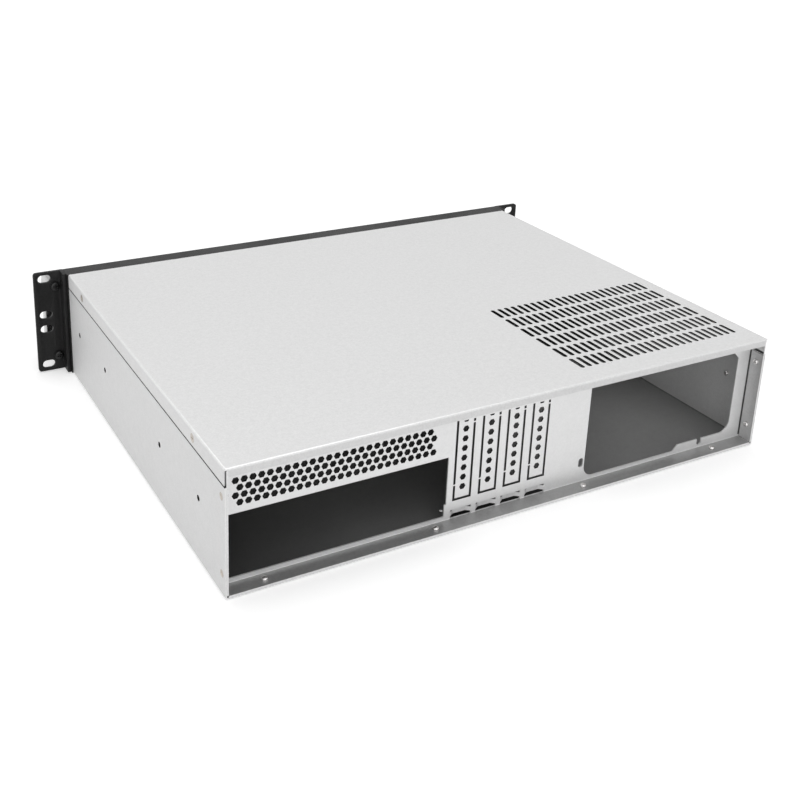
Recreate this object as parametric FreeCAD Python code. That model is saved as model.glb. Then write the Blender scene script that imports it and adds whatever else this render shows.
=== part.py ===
import FreeCAD, Part
import math
import os

# Empty rackmount server case, two rack units high, with a short body.
# Millimetres. +X is to the right seen from the front, +Y runs to the rear, +Z is up.
# The origin is the bottom centre of the whole object's box, handles included.

V = FreeCAD.Vector

# Rack and body sizes
rack_width = 482.6
case_height = 88.0
case_depth = 350.0
ear_reach = 25.5
sheet = 1.0
bend = 1.2
nest_gap = 0.1
seam_gap = 0.4
run_out = 1.0

# Front panel tray
front_depth = 15.6

# Side walls of the base pan
seam_drop = 12.0
step_rise = 0.4
step_inner_drop = 0.8
wall_lip = 9.0
rail_hole_r = 2.2
rail_hole_height = 45.0
rail_holes_y = (42.5, 112.0, 235.5, 307.0)

# Top cover
cover_seam = 0.6
cover_rear_lip = 5.6
cover_screw_drop = 6.2
cover_screws_y = (54.5, 298.0)
top_slot_width = 3.4
top_slot_length = 15.5
top_slot_columns = 24
top_slot_rows = 6
top_slot_pitch_x = 6.22
top_slot_pitch_y = 19.0
top_slots_from_left = 14.2
top_slots_from_rear = 26.5

# Rear panel
panel_recess = 12.0
flange_end_gap = 1.2
hex_flats = 4.3
hex_pitch = 5.62
hex_columns = 25
hex_rows = 4
hex_row_pitch = 5.05
hex_from_aperture = 6.8
io_width = 158.75
io_height = 44.45
io_bottom = 4.8
io_wall_margin = 0.9
io_tab_width = 1.3
io_tab_height = 9.0

# Expansion slots
slot_count = 4
slot_pitch = 20.32
slot_from_io = 12.1
slot_width = 13.8
slot_bottom = 15.5
slot_drop = 8.0
slot_cut = 1.25
slot_tab = 1.0
slot_hole_count = 8
slot_hole_first = 9.2
slot_hole_last = 5.25
shelf_drop = 6.0
shelf_margin = 3.0
shelf_hole_r = 1.5
tongue_width = 16.6
tongue_height = 6.5
tongue_lip_height = 3.1
tongue_set_back = 2.3
tongue_slope = 3.4

# Power supply opening and its screw holes
psu_from_slots = 33.39
psu_depth = 140.0
psu_right_gap = 13.4
psu_open_left = 9.2
psu_open_right = 0.6
psu_open_bottom = 4.4
psu_open_step = 4.5
psu_open_drop = 6.6
psu_step_from_right = 55.5
psu_corner = 9.0
psu_chamfer = 11.4
psu_hole_r = 2.0
psu_hole_edge = 6.0
psu_hole_low = 16.0
psu_hole_drop = 7.0
psu_hole_slot = 7.2
psu_notch_edge = 30.0
psu_notch_low = 4.9
psu_notch_r = 2.1
psu_stop_width = 100.0
psu_stop_height = 18.0
psu_stop_foot = 14.0

# Rivets
rivet_r = 1.9
rivet_head_r = 2.8
rivet_head = 0.8
rivet_tail_r = 2.1
rivet_tail = 2.0
rivet_inset = 5.6
floor_rivet_edge = 27.8
floor_rivet_far_edge = 36.0
floor_rivets = 4
wall_rivet_low = 15.0
wall_rivet_drop = 20.5
side_rivet_y = 318.0
side_rivet_height = 46.0

# Holes in the floor for the board's standoffs
board_hole_r = 1.5
board_side_gap = 9.0
board_rear_gap = 12.2
board_row_2 = 154.94
board_row_3 = 227.33
board_corner_drop = 22.86
board_column_2 = 157.48
board_column_3 = 203.2
board_column_4 = 223.52

# Ears
ear_sheet = 3.0
ear_leg = 13.5
ear_corner = 2.0
ear_slot_length = 10.4
ear_slot_r = 3.4
rack_slot_edge = 8.75
rack_slot_end = 5.9
rack_hole_inner = 12.7
ear_screw_y = 8.2
ear_screw_pitch = 34.5

# Handles
handle_reach = 30.0
handle_width = 8.0
handle_thick = 9.0
handle_pitch = 62.0
handle_outer_r = 9.0
handle_inner_r = 5.0
handle_x_inset = 4.2

# Screws: head radius, head height, shank radius, shank length
pan_screw = (3.8, 2.4, 1.9, 9.0)
small_pan_screw = (2.8, 1.8, 1.4, 5.0)
ear_screw = (3.0, 1.6, 1.5, 5.0)
cover_screw = (3.0, 0.9, 1.5, 4.0)
hole_gap = 0.15
screw_end_gap = 1.0
fastener_sides = 6
round_sides = 8

# Drive bay and its cage
bay_width = 149.0
bay_height = 43.0
bay_wall_gap = 6.0
cage_front = 22.0
cage_length = 150.0
cage_foot = 8.0
cage_slot_length = 60.0
cage_slot_width = 5.0
bay_cover_gap = 0.25
bay_cover_rim = 1.6
bay_cover_proud = 0.6
bay_cover_back = 1.6
bay_leg_length = 11.0
bay_leg_height = 14.0
bay_leg_thick = 1.6
bay_leg_inset = 4.0

# Front vents
front_slot_rows = 7
front_slot_pitch = 10.0
front_slot_width = 4.0
front_slot_length = 74.0
front_vent_pitch = 92.0
front_vents = 2
front_vent_edge = 18.0

# Front controls, all on one small board over the drive bay
control_drop = 22.0
board_thick = 1.6
board_front = 10.0
io_board_height = 26.0
io_board_margin = 7.0
board_screw_drop = 4.0
control_pitch = 19.0
control_from_bay = 16.0
usb_width = 13.1
usb_height = 5.7
usb_wall = 0.5
usb_tongue = 1.8
control_gap = 0.2
lamp_width = 5.0
lamp_height = 2.0
lamp_proud = 0.2
spacer_flats = 5.0
spacer_bore_r = 1.4
power_cap = (12.0, 8.0)
reset_cap = (6.0, 4.0)
cap_proud = 1.6
cap_flange = 1.4
cap_flange_thick = 1.2
stem_size = 3.0
plunger_size = 2.4
plunger_length = 3.4
plunger_gap = 0.05
switch_size = 6.2
switch_thick = 3.6
button_travel = 1.0

# Places worked out from the sizes above
half = rack_width / 2 - ear_reach
y_face = (handle_reach - case_depth) / 2
y_rear = y_face + case_depth
y_panel = y_rear - panel_recess
y_cover = y_face + front_depth + 2 * nest_gap
x_wall = half - sheet
x_step = half - sheet - nest_gap
x_step_in = x_step - sheet
x_flange = x_wall - nest_gap
x_flange_in = x_flange - sheet
tray_half = half + sheet
ear_leg_x = tray_half + ear_sheet
ear_mid = rack_width / 2 - rack_slot_edge
mid_height = case_height / 2
cover_under = case_height - sheet
seam_height = case_height - seam_drop
cover_lip_bottom = seam_height + cover_seam
step_height = seam_height - step_rise
io_left = x_flange_in - io_wall_margin
io_right = io_left - io_width
slot_first_x = io_right - slot_from_io
slot_last_x = slot_first_x - (slot_count - 1) * slot_pitch
slot_top = case_height - slot_drop
slot_hole_pitch = (slot_top - slot_bottom - slot_hole_first - slot_hole_last) / (slot_hole_count - 1)
shelf_height = case_height - shelf_drop
psu_x1 = -(half - psu_right_gap)
psu_x0 = slot_last_x - psu_from_slots
psu_hole_high = case_height - psu_hole_drop
floor_rivet_pitch = (2 * half - floor_rivet_edge - floor_rivet_far_edge) / (floor_rivets - 1)
control_height = case_height - control_drop
handle_x = ear_leg_x + handle_x_inset
bay_x0 = -(x_wall - bay_wall_gap)
bay_x1 = bay_x0 + bay_width
bay_mid = (bay_x0 + bay_x1) / 2
bay_z0 = sheet + sheet
io_board_x0 = bay_x0 + control_from_bay - 2 * io_board_margin
io_board_x1 = io_board_x0 + 5 * control_pitch + 3 * io_board_margin
board_y = y_face + board_front


def save(name, shape):
    """Write one named piece, or one group of like pieces, to its own file."""
    shape = shape.removeSplitter()
    if not shape.isValid():
        raise ValueError("broken shape in " + name)
    shape.exportStep("parts/" + name + ".step")


def block(x0, x1, y0, y1, z0, z1):
    """A box between two corners, given in any order."""
    corner = V(min(x0, x1), min(y0, y1), min(z0, z1))
    return Part.makeBox(abs(x1 - x0), abs(y1 - y0), abs(z1 - z0), corner)


def prism(points, direction):
    """A closed outline of points, pushed along one direction."""
    wire = Part.makePolygon(points + [points[0]])
    return Part.Face(wire).extrude(direction)


def rounded_prism(points, radii, direction):
    """A closed outline whose corners have their own radii, pushed along one direction."""
    edges = []
    ends = []
    count = len(points)
    for i in range(count):
        before = (points[i - 1] - points[i]).normalize()
        after = (points[(i + 1) % count] - points[i]).normalize()
        if radii[i] <= 0:
            ends.append((points[i], points[i], None))
            continue
        turn = before.getAngle(after)
        reach = radii[i] / math.tan(turn / 2)
        start = points[i] + before * reach
        stop = points[i] + after * reach
        middle_line = (before + after).normalize()
        to_middle = radii[i] / math.sin(turn / 2) - radii[i]
        ends.append((start, stop, points[i] + middle_line * to_middle))
    for i in range(count):
        start, stop, middle = ends[i]
        if middle is not None:
            edges.append(Part.Arc(start, middle, stop).toShape())
        next_start = ends[(i + 1) % count][0]
        if (next_start - stop).Length > 1e-6:
            edges.append(Part.LineSegment(stop, next_start).toShape())
    return Part.Face(Part.Wire(edges)).extrude(direction)


def obround(centre, length, radius, along, through):
    """A slot with round ends, lying along one direction and cut through another."""
    side = along.cross(through).normalize() * radius
    tip = along * (length / 2 - radius)
    end = along * (length / 2)
    start = centre - through / 2
    a = start - tip - side
    b = start + tip - side
    c = start + tip + side
    d = start - tip + side
    edges = [
        Part.LineSegment(a, b).toShape(),
        Part.Arc(b, start + end, c).toShape(),
        Part.LineSegment(c, d).toShape(),
        Part.Arc(d, start - end, a).toShape(),
    ]
    return Part.Face(Part.Wire(edges)).extrude(through)


def trimmed_slot(x, y, z, half_x, half_z, depth):
    """A slot whose round ends are drawn with trimmed corners, cut along Y."""
    trim = min(half_x, half_z) * (2 - math.sqrt(2))
    corners = [(-1, -1), (1, -1), (1, 1), (-1, 1)]
    points = []
    for index, (sx, sz) in enumerate(corners):
        along_x = V(x + sx * (half_x - trim), y, z + sz * half_z)
        along_z = V(x + sx * half_x, y, z + sz * (half_z - trim))
        points += [along_z, along_x] if index % 2 == 0 else [along_x, along_z]
    return prism(points, V(0, depth, 0))


def ring_points(radius, z, sides, turn):
    """The corners of a regular outline at one height, turned by a share of a side."""
    angles = [2 * math.pi * (i + turn) / sides for i in range(sides)]
    return [V(radius * math.cos(angle), radius * math.sin(angle), z) for angle in angles]


def regular(radius, height, sides, turn=0.0):
    """A regular prism along +Z from the origin, radius to its corners."""
    return prism(ring_points(radius, 0, sides, turn), V(0, 0, height))


def hexagon(flats, height):
    """A hexagonal prism along +Z from the origin, measured across its flats."""
    return regular(flats / math.sqrt(3), height, 6)


def peg(radius, height):
    """A fastener's round shank or head, drawn with few sides."""
    return regular(radius, height, fastener_sides, 0.5)


def flat_cone(radius_0, radius_1, height):
    """A fastener's tapered part along +Z from the origin."""
    rings = []
    for radius, z in ((radius_0, 0), (radius_1, height)):
        points = ring_points(radius, z, fastener_sides, 0.5)
        rings.append(Part.makePolygon(points + [points[0]]))
    return Part.makeLoft(rings, True, True)


def place(shape, position, direction):
    """Turn a shape made along +Z to a direction and move it to a position."""
    shape = shape.copy()
    shape.Placement = FreeCAD.Placement(position, FreeCAD.Rotation(V(0, 0, 1), direction))
    return shape


def drill(radius, position, direction, depth):
    """A fastener's hole, starting a little outside the face it enters."""
    return place(peg(radius, depth + run_out), position - direction * run_out, direction)


def plain_hole(radius, position, direction, depth):
    """An open hole drawn with enough sides to look round."""
    tool = regular(radius, depth + run_out, round_sides, 0.5)
    return place(tool, position - direction * run_out, direction)


def pan_head(sizes):
    """A screw with a raised head, its shank along +Z from under the head."""
    head_r, head_h, shank_r, length = sizes
    rim = peg(head_r, head_h)
    rim.translate(V(0, 0, -head_h))
    return rim.fuse(peg(shank_r, length))


def sunk_head(sizes):
    """A countersunk screw along +Z, the top of its head at the origin."""
    head_r, head_h, shank_r, length = sizes
    return flat_cone(head_r, shank_r, head_h).fuse(peg(shank_r, length + head_h))


def sunk_hole(sizes, position, direction, depth, gap=hole_gap):
    """The countersunk hole for such a screw."""
    head_r, head_h, shank_r, _ = sizes
    head = flat_cone(head_r + gap, shank_r + gap, head_h)
    return place(head.fuse(peg(shank_r + gap, depth + run_out)), position, direction)


def rivet(grip):
    """A blind rivet along +Z: flush head at the origin, formed tail past the grip."""
    head = flat_cone(rivet_head_r, rivet_r, rivet_head)
    tail = peg(rivet_tail_r, rivet_tail)
    tail.translate(V(0, 0, grip))
    return head.fuse([peg(rivet_r, grip), tail])


def rivet_hole(position, direction, depth):
    """The countersunk hole that a rivet fills."""
    sizes = (rivet_head_r, rivet_head, rivet_r, depth)
    return sunk_hole(sizes, position, direction, depth, 0)


def folded_box(x0, x1, y0, y1, z0, z1, open_sides, folds):
    """A sheet box open on some sides, its outer edges rounded where the sheet is folded."""
    outer = block(x0, x1, y0, y1, z0, z1)
    edges = [edge for edge in outer.Edges if folds(edge.CenterOfMass)]
    outer = outer.makeFillet(bend, edges)
    reach = 2 * max(x1 - x0, y1 - y0, z1 - z0)
    inner = {"x0": x0 + sheet, "x1": x1 - sheet, "y0": y0 + sheet,
             "y1": y1 - sheet, "z0": z0 + sheet, "z1": z1 - sheet}
    for side in open_sides:
        inner[side] += -reach if side.endswith("0") else reach
    return outer.cut(block(**inner))


def at(value, target):
    """Whether two places agree."""
    return abs(value - target) < 1e-6


def wall_section(stepped):
    """The pan's section on the +X side, from the floor's middle to the lip over the wall."""
    x_top = x_step if stepped else half
    outside = [V(0, 0, 0), V(half, 0, 0)]
    if stepped:
        outside += [V(half, 0, step_height), V(x_top, 0, seam_height)]
    outside += [V(x_top, 0, cover_under), V(x_top - wall_lip, 0, cover_under)]
    inside = [V(x_top - wall_lip, 0, cover_under - sheet), V(x_top - sheet, 0, cover_under - sheet)]
    if stepped:
        inside += [V(x_top - sheet, 0, seam_height - step_inner_drop),
                   V(x_wall, 0, step_height - step_inner_drop)]
    inside += [V(x_wall, 0, sheet), V(0, 0, sheet)]
    points = outside + inside
    radii = [0.0] * len(points)
    radii[1] = bend
    radii[len(outside) - 2] = bend
    return points, radii


def pan_half(stepped, y0, y1):
    """One side of the pan between two places along its length."""
    points, radii = wall_section(stepped)
    side = rounded_prism(points, radii, V(0, y1 - y0, 0))
    side.translate(V(0, y0, 0))
    return side


def rail_holes(side):
    """Places of the slide rail holes on one side wall, one fewer beside the power supply."""
    shown = rail_holes_y if side > 0 else rail_holes_y[:-1]
    return [V(side * half, y_face + y, rail_hole_height) for y in shown]


def cover_screw_places(side):
    """Places of the cover screws on one side, on the cover's outer face."""
    z = case_height - cover_screw_drop
    return [V(side * half, y_face + y, z) for y in cover_screws_y]


def ear_screw_places(side):
    """Places of the ear screws on the outer face of an ear's leg."""
    heights = [mid_height + step * ear_screw_pitch for step in (-1, 0, 1)]
    return [V(side * ear_leg_x, y_face + ear_screw_y, z) for z in heights]


def wall_rivet_places(side):
    """Places of the rivets that hold the rear panel to a side wall."""
    y = y_rear - rivet_inset
    return [V(side * half, y, z) for z in (wall_rivet_low, case_height - wall_rivet_drop)]


def floor_rivet_places():
    """Places of the rivets that hold the rear panel to the floor."""
    first = half - floor_rivet_edge
    return [V(first - i * floor_rivet_pitch, y_rear - rivet_inset, 0) for i in range(floor_rivets)]


def side_rivet_place():
    """Place of the single rivet in the wall beside the power supply."""
    return V(-half, y_face + side_rivet_y, side_rivet_height)


def board_hole_places():
    """Places of the holes that the board's standoffs screw into, on the underside of the floor."""
    x = half - board_side_gap
    y = y_panel - board_rear_gap
    rear_row = [(0, board_corner_drop), (board_column_2, 0), (board_column_3, 0)]
    places = [V(x - right, y - drop, 0) for right, drop in rear_row]
    for row in (board_row_2, board_row_3):
        for column in (0, board_column_2, board_column_4):
            places.append(V(x - column, y - row, 0))
    return places


def base_pan():
    """Floor and side walls, folded from one sheet, stepped in where the cover laps them."""
    pan = None
    front = (False, y_face + sheet, y_cover - nest_gap)
    body = (True, y_cover - nest_gap, y_rear)
    for stepped, y0, y1 in (front, body):
        piece = pan_half(stepped, y0, y1)
        whole = piece.fuse(piece.mirror(V(0, 0, 0), V(1, 0, 0)))
        pan = whole if pan is None else pan.fuse(whole)
    lip_relief = y_panel - sheet - nest_gap
    for side in (-1, 1):
        relief = block(0, x_step_in * side, lip_relief, y_rear + run_out,
                       seam_height, cover_under + run_out)
        pan = pan.cut(relief)
    return pan.cut(pan_holes())


def pan_holes():
    """Every hole in the base pan."""
    tools = []
    for side in (-1, 1):
        inward = V(-side, 0, 0)
        for place_at in rail_holes(side):
            tools.append(plain_hole(rail_hole_r, place_at, inward, 2 * sheet))
        for place_at in cover_screw_places(side):
            tools.append(drill(cover_screw[2] + hole_gap, place_at, inward, 4 * sheet))
        for place_at in ear_screw_places(side):
            tools.append(drill(ear_screw[2] + hole_gap, place_at, inward, ear_sheet + 3 * sheet))
        for place_at in wall_rivet_places(side):
            tools.append(rivet_hole(place_at, inward, sheet))
    tools.append(rivet_hole(side_rivet_place(), V(1, 0, 0), sheet))
    for place_at in floor_rivet_places():
        tools.append(rivet_hole(place_at, V(0, 0, 1), sheet))
    for place_at in board_hole_places():
        tools.append(drill(board_hole_r, place_at, V(0, 0, 1), sheet + run_out))
    return tools


def cover_vent():
    """The field of long slots in the cover, over the power supply."""
    tools = []
    reach_x = top_slot_width / 2
    reach_y = top_slot_length / 2
    for column in range(top_slot_columns):
        x = top_slots_from_left - half + column * top_slot_pitch_x
        for row in range(top_slot_rows):
            y = y_rear - top_slots_from_rear - row * top_slot_pitch_y
            tools.append(block(x - reach_x, x + reach_x, y - reach_y, y + reach_y,
                               cover_under - run_out, case_height + run_out))
    return tools


def top_cover():
    """Cover with side lips, a short rear lip and open slits at its rear corners."""
    def folds(middle):
        top = at(middle.z, case_height)
        return top and not at(middle.y, y_cover)
    cover = folded_box(-half, half, y_cover, y_rear, cover_lip_bottom, case_height,
                       ("y0", "z0"), folds)
    tools = cover_vent()
    lip_bottom = case_height - cover_rear_lip
    tools.append(block(-x_step_in, x_step_in, y_rear - 2 * sheet, y_rear + run_out,
                       cover_lip_bottom - run_out, lip_bottom))
    for side in (-1, 1):
        slit = block(side * x_step_in, side * (half + run_out), y_rear - bend, y_rear + run_out,
                     cover_lip_bottom - run_out, cover_under)
        tools.append(slit)
        for place_at in cover_screw_places(side):
            tools.append(sunk_hole(cover_screw, place_at, V(-side, 0, 0), sheet))
    return cover.cut(tools)


def rear_shell():
    """The rear panel's plate with its flanges, before any opening is cut."""
    top = case_height - 2 * sheet

    def folds(middle):
        return at(middle.y, y_panel - sheet) and not at(middle.z, cover_under)
    wide = folded_box(-x_flange, x_flange, y_panel - sheet, y_rear - nest_gap, sheet, cover_under,
                      ("y1", "z1"), folds)
    upper = []
    for side in (-1, 1):
        upper.append(block(side * (x_step_in - nest_gap), side * (x_flange + run_out), y_panel - 2 * sheet,
                           y_rear + run_out, step_height - step_inner_drop - nest_gap, case_height))
        upper.append(block(side * x_flange_in, side * (x_flange + run_out), y_panel, y_rear + run_out,
                           sheet - run_out, sheet + flange_end_gap))
    shell = wide.cut(upper)
    flange_x = x_flange_in - flange_end_gap
    flange_y = y_rear - sheet - nest_gap
    for x0, x1 in ((-flange_x, shelf_x0()), (shelf_x1(), flange_x)):
        shell = shell.fuse(block(x0, x1, y_panel - sheet, flange_y, top, cover_under))
    return shell


def shelf_x0():
    """End of the bracket shelf nearest the power supply."""
    return slot_last_x - slot_width / 2 - shelf_margin


def shelf_x1():
    """End of the bracket shelf nearest the board's connectors."""
    return slot_first_x + slot_width / 2 + shelf_margin


def bracket_shelf():
    """The low shelf that the expansion brackets are screwed to."""
    shelf = block(shelf_x0(), shelf_x1(), y_panel - sheet, y_rear - sheet - nest_gap,
                  shelf_height - sheet, shelf_height)
    holes = []
    for slot in range(slot_count):
        place_at = V(slot_first_x - slot * slot_pitch, y_panel + panel_recess / 2, shelf_height)
        holes.append(plain_hole(shelf_hole_r, place_at, V(0, 0, -1), 2 * sheet))
    return shelf.cut(holes)


def hexagon_hole(x, z):
    """A six-sided hole through the rear panel, standing on a corner."""
    tool = hexagon(hex_flats, 3 * sheet)
    return place(tool, V(x, y_panel + sheet, z), V(0, -1, 0))


def hex_vent():
    """Four staggered rows of six-sided holes over the connector opening."""
    tools = []
    first_z = io_bottom + io_height + hex_from_aperture
    last_x = io_left - hex_flats * 2
    for row in range(hex_rows):
        shift = hex_pitch / 2 if row % 2 == 0 else 0
        for column in range(hex_columns):
            x = last_x - shift - column * hex_pitch
            tools.append(hexagon_hole(x, first_z + row * hex_row_pitch))
    return tools


def io_opening():
    """The board's connector opening, with a small tab left in one lower corner."""
    opening = block(io_right, io_left, y_panel - 2 * sheet, y_panel + run_out,
                    io_bottom, io_bottom + io_height)
    tab = block(io_right - run_out, io_right + io_tab_width, y_panel - 2 * sheet, y_panel + run_out,
                io_bottom - run_out, io_bottom + io_tab_height)
    return opening.cut(tab)


def slot_cutouts(x):
    """One punched slot cover: a cut round it, two tabs that hold it, and its holes."""
    y0 = y_panel - 2 * sheet
    y1 = y_panel + run_out
    left = x + slot_width / 2
    right = x - slot_width / 2
    ring = block(right, left, y0, y1, slot_bottom, slot_top)
    cover = block(right + slot_cut, left - slot_cut, y0, y1, slot_bottom + slot_cut, slot_top - slot_cut)
    low_tab = slot_bottom + slot_hole_first + slot_hole_pitch / 4
    high_tab = slot_top - slot_hole_first
    tabs = [
        block(left + run_out, left - slot_cut - run_out, y0, y1, low_tab, low_tab + slot_tab),
        block(right - run_out, right + slot_cut + run_out, y0, y1, high_tab, high_tab + slot_tab),
    ]
    tools = [ring.cut([cover] + tabs)]
    for i in range(slot_hole_count):
        tools.append(hexagon_hole(x, slot_bottom + slot_hole_first + i * slot_hole_pitch))
    return tools


def tongue_opening(x):
    """The opening under a slot that takes the bracket's tongue."""
    reach = tongue_width / 2
    return block(x - reach, x + reach, y_panel - 2 * sheet, y_panel + run_out,
                 2 * sheet, 2 * sheet + tongue_height)


def tongue_lip(x):
    """The strip across that opening, pressed inwards with a slope at each end."""
    reach = tongue_width / 2
    flat = reach - tongue_slope
    z = 2 * sheet + (tongue_height - tongue_lip_height) / 2
    back = y_panel - tongue_set_back
    outer = [V(x - reach, y_panel, z), V(x - flat, back, z), V(x + flat, back, z), V(x + reach, y_panel, z)]
    inner = [point - V(0, sheet, 0) for point in reversed(outer)]
    return prism(outer + inner, V(0, 0, tongue_lip_height))


def psu_opening():
    """The power supply's opening: a stepped lower edge, round corners and a trimmed top corner."""
    left = psu_x0 - psu_open_left
    right = psu_x1 + psu_open_right
    step_x = right + psu_step_from_right
    step_z = psu_open_bottom + psu_open_step
    y = y_panel - 2 * sheet
    top = case_height - psu_open_drop
    points = [V(left, y, psu_open_bottom), V(step_x, y, psu_open_bottom),
              V(step_x - psu_open_step, y, step_z), V(right, y, step_z),
              V(right, y, top - psu_chamfer), V(right + psu_chamfer, y, top), V(left, y, top)]
    radii = [psu_corner, 0, 0, psu_corner, 0, 0, 0]
    return rounded_prism(points, radii, V(0, 3 * sheet, 0))


def psu_holes():
    """Screw holes round the power supply's opening, one of them open into it."""
    through = V(0, 3 * sheet, 0)
    y = y_panel - sheet / 2
    x_near = psu_x0 - psu_hole_edge
    x_far = psu_x1 + psu_hole_edge
    x_notch = psu_x1 + psu_notch_edge
    tools = []
    for z in (sheet + psu_hole_low, psu_hole_high):
        tools.append(obround(V(x_near, y, z), psu_hole_slot, psu_hole_r, V(0, 0, 1), through))
    far_hole = V(x_far, y_panel, psu_hole_high)
    tools.append(plain_hole(psu_hole_r, far_hole, V(0, -1, 0), 2 * sheet))
    z_notch = sheet + psu_notch_low + psu_notch_r
    tools.append(trimmed_slot(x_notch, y_panel - 2 * sheet, z_notch, psu_notch_r,
                              2 * psu_notch_r, 3 * sheet))
    return tools


def rear_panel():
    """Recessed rear panel, one sheet, with every opening, vent, slot cover and tongue lip."""
    window = block(shelf_x0(), shelf_x1(), y_panel - 2 * sheet, y_panel + run_out,
                   shelf_height, case_height)
    tools = [window, io_opening(), psu_opening()]
    tools += hex_vent() + psu_holes()
    lips = [bracket_shelf()]
    for slot in range(slot_count):
        x = slot_first_x - slot * slot_pitch
        tools += slot_cutouts(x)
        tools.append(tongue_opening(x))
        lips.append(tongue_lip(x))
    for side in (-1, 1):
        for place_at in wall_rivet_places(side):
            tools.append(drill(rivet_r + hole_gap, place_at, V(-side, 0, 0), 4 * sheet))
    for place_at in floor_rivet_places():
        tools.append(drill(rivet_r + hole_gap, place_at, V(0, 0, 1), 3 * sheet))
    return rear_shell().cut(tools).fuse(lips)


def rear_rivets():
    """Rivets through the side walls and the floor."""
    rivets = []
    for side in (-1, 1):
        for place_at in wall_rivet_places(side):
            rivets.append(place(rivet(x_flange_grip()), place_at, V(-side, 0, 0)))
    rivets.append(place(rivet(sheet), side_rivet_place(), V(1, 0, 0)))
    for place_at in floor_rivet_places():
        rivets.append(place(rivet(2 * sheet), place_at, V(0, 0, 1)))
    return Part.makeCompound(rivets)


def x_flange_grip():
    """Thickness of wall, gap and flange that a wall rivet goes through."""
    return half - x_flange_in


def cover_screws():
    """Countersunk screws in the cover's side lips."""
    screws = []
    for side in (-1, 1):
        for place_at in cover_screw_places(side):
            screws.append(place(sunk_head(cover_screw), place_at, V(-side, 0, 0)))
    return Part.makeCompound(screws)


def front_vent():
    """Two fields of long slots in front of the board space."""
    tools = []
    reach_z = front_slot_width / 2
    for field in range(front_vents):
        x1 = half - front_vent_edge - field * front_vent_pitch
        for row in range(front_slot_rows):
            z = mid_height + (row - (front_slot_rows - 1) / 2) * front_slot_pitch
            tools.append(block(x1 - front_slot_length, x1, y_face - run_out, y_face + sheet + run_out,
                               z - reach_z, z + reach_z))
    return tools


def control_x(index):
    """Centre of one of the front controls, counted from the case's end."""
    return bay_x0 + control_from_bay + index * control_pitch


def control_hole(x, width, height):
    """A rectangular hole for a control in the front panel."""
    reach_x = width / 2 + control_gap
    reach_z = height / 2 + control_gap
    return block(x - reach_x, x + reach_x, y_face - run_out, y_face + sheet + run_out,
                 control_height - reach_z, control_height + reach_z)


def front_panel():
    """Front panel: a shallow tray with top and side returns, its openings cut through the face."""
    def folds(middle):
        return at(middle.y, y_face) and not at(middle.z, 0)
    tray = folded_box(-tray_half, tray_half, y_face, y_face + front_depth, 0, case_height,
                      ("y1", "z0"), folds)
    tools = front_vent()
    tools.append(block(bay_x0, bay_x1, y_face - run_out, y_face + sheet + run_out,
                       bay_z0, bay_z0 + bay_height))
    tools.append(control_hole(control_x(0), *power_cap))
    tools.append(control_hole(control_x(1), *reset_cap))
    for index in (2, 3):
        tools.append(control_hole(control_x(index), lamp_width, lamp_height))
    for index in (4, 5):
        tools.append(control_hole(control_x(index), usb_width, usb_height))
    for side in (-1, 1):
        for place_at in ear_screw_places(side):
            tools.append(drill(ear_screw[2] + hole_gap, place_at, V(-side, 0, 0),
                               ear_sheet + 2 * sheet))
    return tray.cut(tools)


def ear_slots(side):
    """The four rack slots of one ear, the inner two drawn with fewer sides."""
    tools = []
    x = side * ear_mid
    for step in (-1, 1):
        centre = V(x, y_face + ear_sheet / 2, mid_height + step * (mid_height - rack_slot_end))
        tools.append(obround(centre, ear_slot_length, ear_slot_r, V(1, 0, 0), V(0, 2 * ear_sheet, 0)))
        z = mid_height + step * rack_hole_inner / 2
        tools.append(trimmed_slot(x, y_face - run_out, z, ear_slot_length / 2, ear_slot_r, 2 * ear_sheet))
    return tools


def handle_screw_places(side):
    """Places of the handle's screws on the back of an ear."""
    y = y_face + ear_sheet
    return [V(side * handle_x, y, mid_height + step * handle_pitch / 2) for step in (-1, 1)]


def ear(side):
    """Angle with the rack slots in its flange and a leg along the case's side."""
    outer = rack_width / 2
    flange = rounded_prism(
        [V(tray_half, y_face, 0), V(outer, y_face, 0), V(outer, y_face, case_height),
         V(tray_half, y_face, case_height)],
        [0, ear_corner, ear_corner, 0], V(0, ear_sheet, 0))
    leg = block(tray_half, ear_leg_x, y_face, y_face + ear_leg, 0, case_height)
    shape = flange.fuse(leg)
    if side < 0:
        shape = shape.mirror(V(0, 0, 0), V(1, 0, 0))
    tools = ear_slots(side)
    for place_at in ear_screw_places(side):
        tools.append(sunk_hole(ear_screw, place_at, V(-side, 0, 0), ear_sheet))
    for place_at in handle_screw_places(side):
        tools.append(drill(pan_screw[2] + hole_gap, place_at, V(0, -1, 0), ear_sheet + run_out))
    return shape.cut(tools)


def ear_screws():
    """Countersunk screws through the ears' legs, the front panel's returns and the pan's walls."""
    screws = []
    for side in (-1, 1):
        for place_at in ear_screw_places(side):
            screws.append(place(sunk_head(ear_screw), place_at, V(-side, 0, 0)))
    return Part.makeCompound(screws)


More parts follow.
